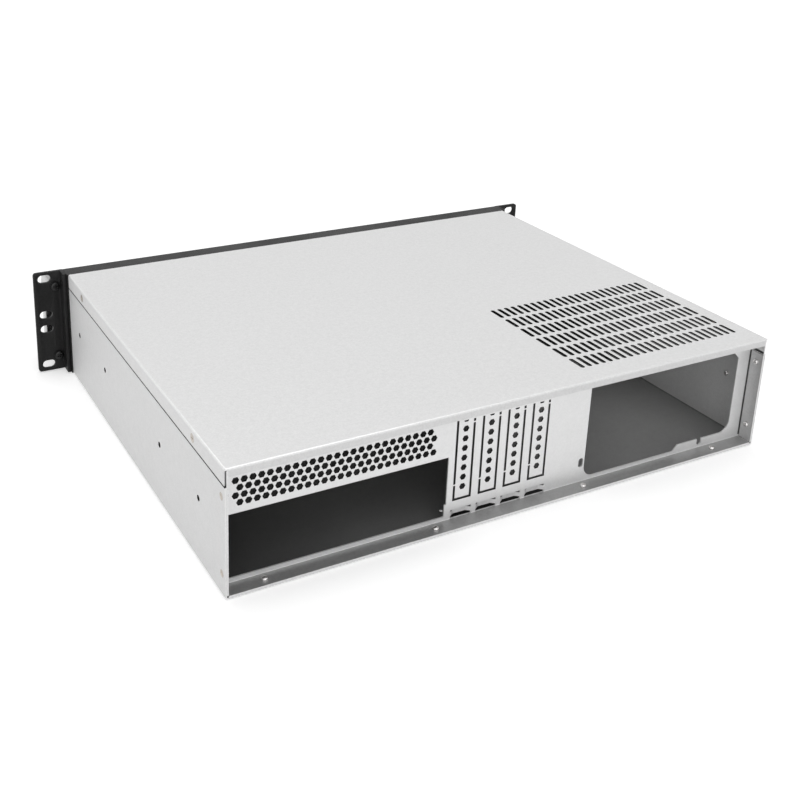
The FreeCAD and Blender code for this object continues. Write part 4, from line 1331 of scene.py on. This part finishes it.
@dataclass
class BayCover:
    """The blank cover of the drive bay."""

    x0: float = -208.55 * MM
    x1: float = -60.05 * MM
    z0: float = 2.25 * MM
    z1: float = 44.75 * MM
    front: float = -160.6 * MM
    back: float = -158.9 * MM
    rim: float = 1.6 * MM
    rim_back: float = -157.3 * MM
    rim_bottom: float = 1.0 * MM
    border: float = 3.2 * MM
    field_depth: float = 0.45 * MM
    field_step: float = 0.4 * MM
    face_edge: float = 0.3 * MM
    rim_edge: float = 0.2 * MM
    arm_xs: tuple[float, float] = (-204.0 * MM, -64.6 * MM)
    arm_reach: float = 11.0 * MM
    arm_high: float = 7.0 * MM
    arm_thick: float = 1.6 * MM
    arm_edge: float = 0.25 * MM
    arm_tip: Place = (0.55, 1.0, 0.8)

    def build_face(self) -> bpy.types.Object:
        """Builds the face with its shallow inner field and its rim.

        Returns:
            The face.
        """
        face = Bench.bar("bay_face", (self.x0, self.front, self.z0), (self.x1, self.back, self.z1))
        with Bench.editing(face):
            Bench.pick_faces(face, lambda middle, normal: normal.y < -SQUARE_ON)
            bpy.ops.mesh.inset(thickness=self.border, depth=0)
            Bench.draw_out(y=self.field_depth)
            bpy.ops.mesh.inset(thickness=self.field_step, depth=0)
        Bench.bevel_edges(face, self.face_edge, 3)
        rim = Bench.bar("bay_rim", (self.x0 - self.rim, self.back, self.rim_bottom),
                        (self.x1 + self.rim, self.rim_back, self.z1 + self.rim))
        Bench.bevel_edges(rim, self.rim_edge, 2)
        return Bench.join("bay_face", [face, rim])

    def build_arm(self, x: float) -> bpy.types.Object:
        """Builds one springy arm with a chamfered tip.

        Args:
            x: Its middle.

        Returns:
            The arm.
        """
        middle = (self.z0 + self.z1) / 2
        tip = self.rim_back + self.arm_reach
        arm = Bench.bar("bay_arm", (x - self.arm_thick / 2, self.rim_back, middle - self.arm_high),
                        (x + self.arm_thick / 2, tip, middle + self.arm_high))
        with Bench.editing(arm):
            Bench.pick_faces(arm, lambda place, normal: normal.y > SQUARE_ON)
            bpy.ops.transform.resize(value=self.arm_tip, center_override=(x, 0, middle))
        Bench.bevel_edges(arm, self.arm_edge, 2)
        return arm

    def build(self) -> None:
        """Builds the whole cover."""
        arms = [self.build_arm(x) for x in self.arm_xs]
        cover = Bench.join("blank_bay_cover", [self.build_face()] + arms)
        Bench.smooth(cover)
        dress(cover, BLACK_PLASTIC)
        hand_over(cover, "bay_cover")


@dataclass
class PushKey:
    """A push button with its switch, whose plunger moves with it."""

    name: str
    body: Body
    x: float
    width: float
    height: float
    middle: float = 66.0 * MM
    panel: float = -160.0 * MM
    proud: float = 1.6 * MM
    flange_front: float = -158.9 * MM
    flange_thick: float = 1.2 * MM
    flange: float = 1.4 * MM
    stem: float = 1.5 * MM
    plunger_front: float = -155.0 * MM
    plunger_length: float = 3.4 * MM
    plunger_reach: float = 1.2 * MM
    switch_front: float = -153.6 * MM
    board_front: float = -150.0 * MM
    switch_reach: float = 3.1 * MM
    well_reach: float = 1.25 * MM
    well_room: float = 1.4 * MM
    dish_border: float = 0.14
    dish_step: float = 0.05
    dish_depth: float = 0.22 * MM
    cap_edge: float = 0.28 * MM
    small_edge: float = 0.2 * MM
    tip_border: float = 0.25 * MM
    tip_depth: float = 0.12 * MM
    tip_edge: float = 0.16 * MM
    body_drop: float = 0.35 * MM
    body_edge: float = 0.3 * MM
    plate_share: float = 0.94
    plate_drops: tuple[float, float] = (0.1 * MM, 0.4 * MM)
    plate_edge: float = 0.08 * MM
    post: Ring = (0.45 * MM, 0.35 * MM)
    post_tip: Ring = (0.3 * MM, 0.42 * MM)
    post_share: float = 0.72

    def slab(self, name: str, reach_x: float, reach_z: float, y0: float,
             y1: float) -> bpy.types.Object:
        """Adds a box about the key's middle line."""
        return Bench.bar(name, (self.x - reach_x, y0, self.middle - reach_z),
                         (self.x + reach_x, y1, self.middle + reach_z))

    def build_cap(self) -> None:
        """Builds the cap with its slightly dished face, its flange and its stem."""
        cap = self.slab("cap", self.width / 2, self.height / 2, self.panel - self.proud,
                        self.flange_front)
        with Bench.editing(cap):
            Bench.pick_faces(cap, lambda place, normal: normal.y < -SQUARE_ON)
            bpy.ops.mesh.inset(thickness=self.height * self.dish_border, depth=0)
            Bench.draw_out(y=self.dish_depth)
            bpy.ops.mesh.inset(thickness=self.height * self.dish_step, depth=0)
        Bench.bevel_edges(cap, self.cap_edge, 3)
        flange = self.slab("flange", self.width / 2 + self.flange, self.height / 2 + self.flange,
                           self.flange_front, self.flange_front + self.flange_thick)
        Bench.bevel_edges(flange, self.small_edge, 2)
        stem = self.slab("stem", self.stem, self.stem, self.flange_front + self.flange_thick,
                         self.plunger_front)
        Bench.bevel_edges(stem, self.small_edge, 2)
        button = Bench.join(self.name + "_key_cap", [cap, flange, stem])
        Bench.smooth(button)
        dress(button, BLACK_PLASTIC)
        hand_over(button, self.name + "_button", self.body)

    def build_plunger(self) -> None:
        """Builds the switch's moving plunger with its rounded tip."""
        plunger = self.slab("plunger", self.plunger_reach, self.plunger_reach, self.plunger_front,
                            self.plunger_front + self.plunger_length)
        with Bench.editing(plunger):
            Bench.pick_faces(plunger, lambda place, normal: normal.y < -SQUARE_ON)
            bpy.ops.mesh.inset(thickness=self.tip_border, depth=0)
            Bench.draw_out(y=self.tip_depth)
        Bench.bevel_edges(plunger, self.tip_edge, 3)
        plunger.name = self.name + "_switch_plunger"
        Bench.smooth(plunger)
        dress(plunger, PALE_PLASTIC)
        hand_over(plunger, self.name + "_plunger", self.body)

    def build_switch(self) -> None:
        """Builds the switch's body with its cover plate, four posts and the plunger's well."""
        body = self.slab("switch", self.switch_reach, self.switch_reach,
                         self.switch_front + self.body_drop, self.board_front)
        Bench.bevel_edges(body, self.body_edge, 2)
        plate_reach = self.switch_reach * self.plate_share
        plate = self.slab("plate", plate_reach, plate_reach,
                          *(self.switch_front + drop for drop in self.plate_drops))
        Bench.bevel_edges(plate, self.plate_edge, 2)
        well_back = self.plunger_front + self.plunger_length + self.well_room
        for part in (body, plate):
            Bench.cut(part, self.slab("well", self.well_reach, self.well_reach,
                                      self.switch_front - PAST, well_back))
        post = Bench.rod("post", self.post[0], 0, self.post[1], 12)
        Bench.draw_rings(post, 1, self.post, [self.post_tip])
        reach = self.switch_reach * self.post_share
        posts = [Bench.copy_to(post, (self.x + sx * reach, self.switch_front + self.post_tip[1],
                                      self.middle + sz * reach), (0, -1, 0))
                 for sx in (-1, 1) for sz in (-1, 1)]
        Bench.remove(post)
        dress(body, SWITCH_PLASTIC)
        dress(plate, TINNED_STEEL)
        for copy in posts:
            dress(copy, SWITCH_PLASTIC)
        switch = Bench.join(self.name + "_key_switch", [body, plate] + posts)
        Bench.smooth(switch)
        hand_over(switch, self.name + "_switch")

    def build(self) -> None:
        """Builds the button, the plunger and the switch."""
        self.build_cap()
        self.build_plunger()
        self.build_switch()


@dataclass
class ControlBoard:
    """The small circuit board behind the front controls, with what it carries."""

    x0: float = -206.8 * MM
    x1: float = -90.8 * MM
    z0: float = 53.0 * MM
    z1: float = 79.0 * MM
    front: float = -150.0 * MM
    thick: float = 1.6 * MM
    middle: float = 66.0 * MM
    screw_inset: float = 7.0 * MM
    screw_drop: float = 4.0 * MM
    screw_hole: float = 1.55 * MM
    spacer_flats: float = 5.0 * MM
    panel_back: float = -159.0 * MM
    lamp_xs: tuple[float, float] = (-154.8 * MM, -135.8 * MM)
    lamp_size: tuple[float, float] = (5.0 * MM, 2.0 * MM)
    lamp_front: float = -160.2 * MM
    socket_xs: tuple[float, float] = (-116.8 * MM, -97.8 * MM)
    socket_size: tuple[float, float] = (13.1 * MM, 5.7 * MM)
    socket_front: float = -159.9 * MM
    socket_wall: float = 0.5 * MM
    header_x: float = -148.8 * MM
    header_pins: int = 5
    pin_pitch: float = 2.54 * MM
    strip_high: float = 2.5 * MM
    strip_edge: float = 0.35 * MM
    pin_half: float = 0.3 * MM
    pin_long: float = 7.5 * MM
    pin_tip: float = 0.6 * MM
    pin_tip_share: float = 0.45
    chip_count: int = 6
    first_chip: float = -188.0 * MM
    chip_pitch: float = 6.2 * MM
    chip_heights: tuple[float, float] = (8.5 * MM, 5.0 * MM)
    chip_half: tuple[float, float] = (1.0 * MM, 0.6 * MM)
    chip_thick: float = 0.6 * MM
    chip_ends: tuple[float, float] = (0.6 * MM, 0.62 * MM)
    spacer_chamfer: float = 0.35 * MM
    spacer_end: float = 0.86
    soft_corner: float = 0.5 * MM
    socket_depth: float = 8.1 * MM
    tongue_side: float = 1.0 * MM
    tongue_ys: tuple[float, float] = (0.6 * MM, 1.6 * MM)
    tongue_zs: tuple[float, float] = (0.25 * MM, 2.05 * MM)
    tongue_edge: float = 0.2 * MM
    contact_steps: tuple[float, ...] = (-1.5, -0.5, 0.5, 1.5)
    contact_pitch: float = 2.3 * MM
    contact_half: float = 0.5 * MM
    contact_ys: tuple[float, float] = (1.2 * MM, 1.9 * MM)
    contact_zs: tuple[float, float] = (0.03 * MM, 0.3 * MM)
    lamp_border: float = 0.5 * MM
    lamp_bulge: float = 0.05 * MM
    lamp_edge: float = 0.1 * MM
    board_edge: float = 0.12 * MM
    fine_edge: float = 0.08 * MM

    def screw_places(self) -> list[Place]:
        """Lists where the board's screws are, on its back."""
        z = self.z1 - self.screw_drop
        y = self.front + self.thick
        return [(self.x0 + self.screw_inset, y, z), (self.x1 - self.screw_inset, y, z)]

    def build_header(self, x: float) -> list[bpy.types.Object]:
        """Builds a pin header on the board's back: a plastic strip with two rows of pins.

        Args:
            x: Middle of the header.

        Returns:
            Its pieces.
        """
        pitch = self.pin_pitch
        back = self.front + self.thick
        half_long = self.header_pins * pitch / 2
        strip = Bench.bar("strip", (x - half_long, back, self.middle - pitch),
                          (x + half_long, back + self.strip_high, self.middle + pitch))
        Bench.bevel_edges(strip, self.strip_edge, 1)
        dress(strip, SWITCH_PLASTIC)
        half = self.pin_half
        pin = Bench.bar("pin", (-half, -half, 0), (half, half, self.pin_long))
        with Bench.editing(pin):
            Bench.pick_faces(pin, lambda place, normal: normal.z > SQUARE_ON)
            Bench.draw_out(z=self.pin_tip)
            bpy.ops.transform.resize(value=(self.pin_tip_share, self.pin_tip_share, 1),
                                     center_override=(0, 0, self.pin_long + self.pin_tip))
        dress(pin, TINNED_STEEL)
        pins = [Bench.copy_to(pin, (x + (column - (self.header_pins - 1) / 2) * pitch, back,
                                    self.middle + row * pitch / 2), (0, 1, 0))
                for column in range(self.header_pins) for row in (-1, 1)]
        Bench.remove(pin)
        return [strip] + pins

    def build_chips(self) -> list[bpy.types.Object]:
        """Builds small components with bright ends beside the header.

        Returns:
            The components.
        """
        back = self.front + self.thick
        long, high = self.chip_half
        end_cut, end_start = self.chip_ends
        chips = []
        for index in range(self.chip_count):
            x = self.first_chip + index * self.chip_pitch
            z = self.z0 + self.chip_heights[index % 2]
            chip = Bench.bar("chip", (x - long, back, z - high),
                             (x + long, back + self.chip_thick, z + high))
            with Bench.editing(chip):
                for cut in (-end_cut, end_cut):
                    bpy.ops.mesh.select_all(action="SELECT")
                    bpy.ops.mesh.bisect(plane_co=(x + cut, 0, 0), plane_no=(1, 0, 0))
            Bench.bevel_edges(chip, self.fine_edge, 1)
            dress(chip, SWITCH_PLASTIC)
            dress_faces(chip, TINNED_STEEL, lambda place, x=x: abs(place.x - x) > end_start)
            chips.append(chip)
        return chips

    def build_board(self) -> None:
        """Builds the board with its holes, its header and its components."""
        board = Bench.bar("board", (self.x0, self.front, self.z0),
                          (self.x1, self.front + self.thick, self.z1))
        for x, y, z in self.screw_places():
            tool = Bench.rod("hole", self.screw_hole, -PAST, self.thick + PAST, 20)
            Bench.cut(board, Bench.moved(tool, (x, y, z), (0, -1, 0)))
        Bench.bevel_edges(board, self.board_edge, 1)
        dress(board, SOLDER_MASK)
        parts = [board] + self.build_header(self.header_x) + self.build_chips()
        whole = Bench.join("control_board", parts)
        hand_over(whole, "io_board")

    def build_spacers(self) -> None:
        """Builds the two hexagonal spacers with chamfered ends."""
        radius = self.spacer_flats / math.sqrt(3)
        length = self.front - self.panel_back
        chamfer = self.spacer_chamfer
        spacer = Bench.rod("spacer", radius, chamfer, length - chamfer, 6)
        end_radius = radius * self.spacer_end
        Bench.draw_rings(spacer, 1, (radius, length - chamfer), [(end_radius, length)])
        Bench.draw_rings(spacer, -1, (radius, chamfer), [(end_radius, 0)])
        copies = [Bench.copy_to(spacer, (x, self.panel_back, z), (0, 1, 0))
                  for x, _, z in self.screw_places()]
        Bench.remove(spacer)
        spacers = Bench.join("board_spacers", copies)
        dress(spacers, BRASS)
        hand_over(spacers, "io_spacers")

    def inlay(self, name: str, x0: float, x1: float, ys: Sequence[float],
              zs: Sequence[float]) -> bpy.types.Object:
        """Adds a bar inside a socket.

        Args:
            name: Its name.
            x0: Where it starts along X.
            x1: Where it ends along X.
            ys: How far behind the socket's front it starts, and how far before the board it ends.
            zs: How far over the middle it starts and ends.

        Returns:
            The bar.
        """
        return Bench.bar(name, (x0, self.socket_front + ys[0], self.middle + zs[0]),
                         (x1, self.front - ys[1], self.middle + zs[1]))

    def build_socket(self, x: float) -> bpy.types.Object:
        """Builds one socket: a folded shell, its tongue and four contacts.

        Args:
            x: Middle of the socket.

        Returns:
            The socket.
        """
        reach_x, reach_z = (size / 2 for size in self.socket_size)
        shell = Bench.bar("shell", (x - reach_x, self.socket_front, self.middle - reach_z),
                          (x + reach_x, self.front, self.middle + reach_z))
        with Bench.editing(shell):
            Bench.pick_edges(shell, lambda place, along: abs(along.y) > SQUARE_ON)
            bpy.ops.mesh.bevel(offset=self.soft_corner, segments=3, affect="EDGES")
            Bench.pick_faces(shell, lambda place, normal: normal.y < -SQUARE_ON)
            bpy.ops.mesh.inset(thickness=self.socket_wall, depth=0)
            Bench.draw_out(y=self.socket_depth)
        dress(shell, TINNED_STEEL)
        tongue = self.inlay("tongue", x - reach_x + self.tongue_side,
                            x + reach_x - self.tongue_side, self.tongue_ys, self.tongue_zs)
        Bench.bevel_edges(tongue, self.tongue_edge, 2)
        dress(tongue, BLACK_PLASTIC)
        parts = [shell, tongue]
        for step in self.contact_steps:
            contact_x = x + step * self.contact_pitch
            contact = self.inlay("contact", contact_x - self.contact_half,
                                 contact_x + self.contact_half, self.contact_ys, self.contact_zs)
            Bench.bevel_edges(contact, self.fine_edge, 1)
            dress(contact, BRASS)
            parts.append(contact)
        return Bench.join("socket", parts)

    def build_sockets(self) -> None:
        """Builds both sockets as one piece."""
        sockets = Bench.join("front_sockets", [self.build_socket(x) for x in self.socket_xs])
        Bench.smooth(sockets)
        hand_over(sockets, "usb_sockets")

    def build_lamps(self) -> None:
        """Builds both light pipes, each with a rounded front."""
        reach_x, reach_z = (size / 2 for size in self.lamp_size)
        lamps = []
        for x in self.lamp_xs:
            lamp = Bench.bar("lamp", (x - reach_x, self.lamp_front, self.middle - reach_z),
                             (x + reach_x, self.front, self.middle + reach_z))
            with Bench.editing(lamp):
                Bench.pick_edges(lamp, lambda place, along: abs(along.y) > SQUARE_ON)
                bpy.ops.mesh.bevel(offset=self.soft_corner, segments=3, affect="EDGES")
                Bench.pick_faces(lamp, lambda place, normal: normal.y < -SQUARE_ON)
                bpy.ops.mesh.inset(thickness=self.lamp_border, depth=0)
                bpy.ops.transform.translate(value=(0, -self.lamp_bulge, 0))
            Bench.bevel_edges(lamp, self.lamp_edge, 2)
            lamps.append(lamp)
        pipes = Bench.join("light_pipes", lamps)
        Bench.smooth(pipes)
        dress(pipes, LAMP_PLASTIC)
        hand_over(pipes, "status_lamps")

    def build(self) -> None:
        """Builds the board and all that sits on it."""
        self.build_board()
        self.build_spacers()
        self.build_sockets()
        self.build_lamps()


@dataclass
class PhotoCamera:
    """The camera at the photograph's viewing angle."""

    place: Place = (0.4275, 0.7138, 0.4254)
    yaw: float = 28.281
    pitch: float = 18.865
    roll: float = 1.561
    focal_px: float = 1129.3
    centre_px: tuple[float, float] = (340.0, 230.0)
    frame_px: float = 800.0
    sensor: float = 36.0
    sees_from: float = 0.01
    sees_to: float = 50.0

    def axes(self) -> Matrix:
        """Works out the camera's turn.

        Returns:
            The turn, with the camera's right, up and backward directions as columns.
        """
        yaw, pitch, roll = (math.radians(angle) for angle in (self.yaw, self.pitch, self.roll))
        ahead = Vector((-math.cos(pitch) * math.sin(yaw), -math.cos(pitch) * math.cos(yaw),
                        -math.sin(pitch)))
        level = Vector((-math.cos(yaw), math.sin(yaw), 0.0))
        upward = level.cross(ahead)
        right = level * math.cos(roll) + upward * math.sin(roll)
        up = upward * math.cos(roll) - level * math.sin(roll)
        return Matrix((right, up, -ahead)).transposed()

    def build(self) -> None:
        """Adds the camera and makes it the scene's own."""
        lens = bpy.data.cameras.new("photo_camera")
        lens.sensor_width = self.sensor
        lens.sensor_height = self.sensor
        lens.sensor_fit = "HORIZONTAL"
        lens.lens = self.focal_px * self.sensor / self.frame_px
        lens.shift_x = (self.frame_px / 2 - self.centre_px[0]) / self.frame_px
        lens.shift_y = (self.centre_px[1] - self.frame_px / 2) / self.frame_px
        lens.clip_start = self.sees_from
        lens.clip_end = self.sees_to
        camera = bpy.data.objects.new("photo_camera", lens)
        bpy.context.scene.collection.objects.link(camera)
        camera.matrix_world = Matrix.Translation(self.place) @ self.axes().to_4x4()
        bpy.context.scene.camera = camera
        LOG.info("camera at %s, lens %.1f mm", self.place, lens.lens)


@dataclass
class Softbox:
    """A square soft lamp."""

    name: str
    place: Place
    size: float
    watts: float
    aim: Place = (0.0, 0.0, 0.04)

    def build(self) -> None:
        """Adds the lamp, turned towards its aim."""
        light = bpy.data.lights.new(self.name, "AREA")
        light.shape = "SQUARE"
        light.size = self.size
        light.energy = self.watts
        lamp = bpy.data.objects.new(self.name, light)
        bpy.context.scene.collection.objects.link(lamp)
        towards = Vector(self.aim) - Vector(self.place)
        turn = towards.to_track_quat("-Z", "Y").to_matrix().to_4x4()
        lamp.matrix_world = Matrix.Translation(self.place) @ turn


@dataclass
class Studio:
    """Plain pale floor, white surroundings and soft lamps."""

    floor_size: float = 12.0
    floor_drop: float = 0.0006
    floor_tone: float = 0.82
    floor_lift: float = 0.42
    floor_roughness: float = 0.9
    white_from: float = 0.7
    white_at: float = 2.5
    surroundings: float = 0.45

    def build(self) -> None:
        """Builds the floor, the surroundings and the lamps."""
        self.build_world()
        self.build_floor()
        for lamp in self.lamps():
            lamp.build()
        scene = bpy.context.scene
        scene.view_settings.view_transform = "Standard"

    def lamps(self) -> list[Softbox]:
        """Lists the soft lamps."""
        return [
            Softbox("overhead_softbox", (-0.1, -0.1, 2.2), 2.0, 22.0),
            Softbox("rear_softbox", (0.6, 2.4, 0.5), 1.8, 14.0),
            Softbox("side_softbox", (2.5, 0.2, 0.5), 1.8, 14.0),
        ]

    @staticmethod
    def seen(tree: Tree) -> bpy.types.NodeSocket:
        """Tells what the camera, gloss and clear pieces see from what lights the case.

        Args:
            tree: The tree of the world or of the floor's material.

        Returns:
            1 for what is seen, 0 for what lights.
        """
        path = tree.add("LightPath").outputs
        shine = tree.math("MAXIMUM", path["Is Glossy Ray"], path["Is Transmission Ray"])
        return tree.math("MAXIMUM", path["Is Camera Ray"], shine)

    def build_world(self) -> None:
        """White for what the camera and gloss see, gentler for what lights the case."""
        world = bpy.data.worlds.new("studio_white")
        world.use_nodes = True
        tree = Tree(world.node_tree)
        strength = tree.spread(self.seen(tree), 0.0, 1.0, self.surroundings, 1.0)
        glow = tree.add("Background", {"Color": (1, 1, 1, 1), "Strength": strength})
        tree.add("OutputWorld", {"Surface": glow.outputs[0]})
        bpy.context.scene.world = world

    def build_floor(self) -> None:
        """A wide floor, white for the camera but for the case's shadow."""
        Bench.clear()
        bpy.ops.mesh.primitive_plane_add(size=self.floor_size, location=(0, 0, -self.floor_drop))
        floor = Bench.settle("studio_floor")
        material = bpy.data.materials.new("studio_floor")
        material.use_nodes = True
        tree = Tree(material.node_tree)
        place = tree.add("TexCoord").outputs
        reach = tree.add("VectorMath", {0: place["Object"]}, operation="LENGTH").outputs["Value"]
        far = tree.spread(reach, self.white_from, self.white_at, self.floor_lift, 1.0)
        lift = tree.math("MULTIPLY", self.seen(tree), far)
        shader = tree.add("BsdfPrincipled", {
            "Base Color": (*even(self.floor_tone), 1), "Roughness": self.floor_roughness,
            "Specular IOR Level": 0.0,
            "Emission Color": (1, 1, 1, 1), "Emission Strength": lift})
        tree.add("OutputMaterial", {"Surface": shader.outputs[0]})
        floor.data.materials.append(material)


@dataclass
class CaseShell:
    """The sheet pieces that keep their CAD shape."""

    finishes: dict[str, Finish]

    def dress(self) -> None:
        """Gives each node its finish."""
        for name, finish in self.finishes.items():
            dress(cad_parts[name], finish)
            LOG.info("%s is dressed as %s", name, finish.name)


def main() -> None:
    """Builds the camera, the studio and each sub-assembly in order."""
    logging.basicConfig(level=logging.INFO, format="%(name)s: %(message)s")
    PhotoCamera().build()
    Studio().build()
    CaseShell(SHEET_FINISHES).dress()
    cover = VentedCover()
    ears = [RackEar(side) for side in Side]
    board = ControlBoard()
    cover.build()
    PunchedPanel().build()
    for ear in ears:
        ear.build()
    RearJoints().build()
    BayCover().build()
    board.build()
    PushKey("power", Body.POWER_KEY, -192.8 * MM, 12.0 * MM, 8.0 * MM).build()
    PushKey("reset", Body.RESET_KEY, -173.8 * MM, 6.0 * MM, 4.0 * MM).build()
    Screws(ears, cover, board).build()


if __name__ == "__main__":
    main()
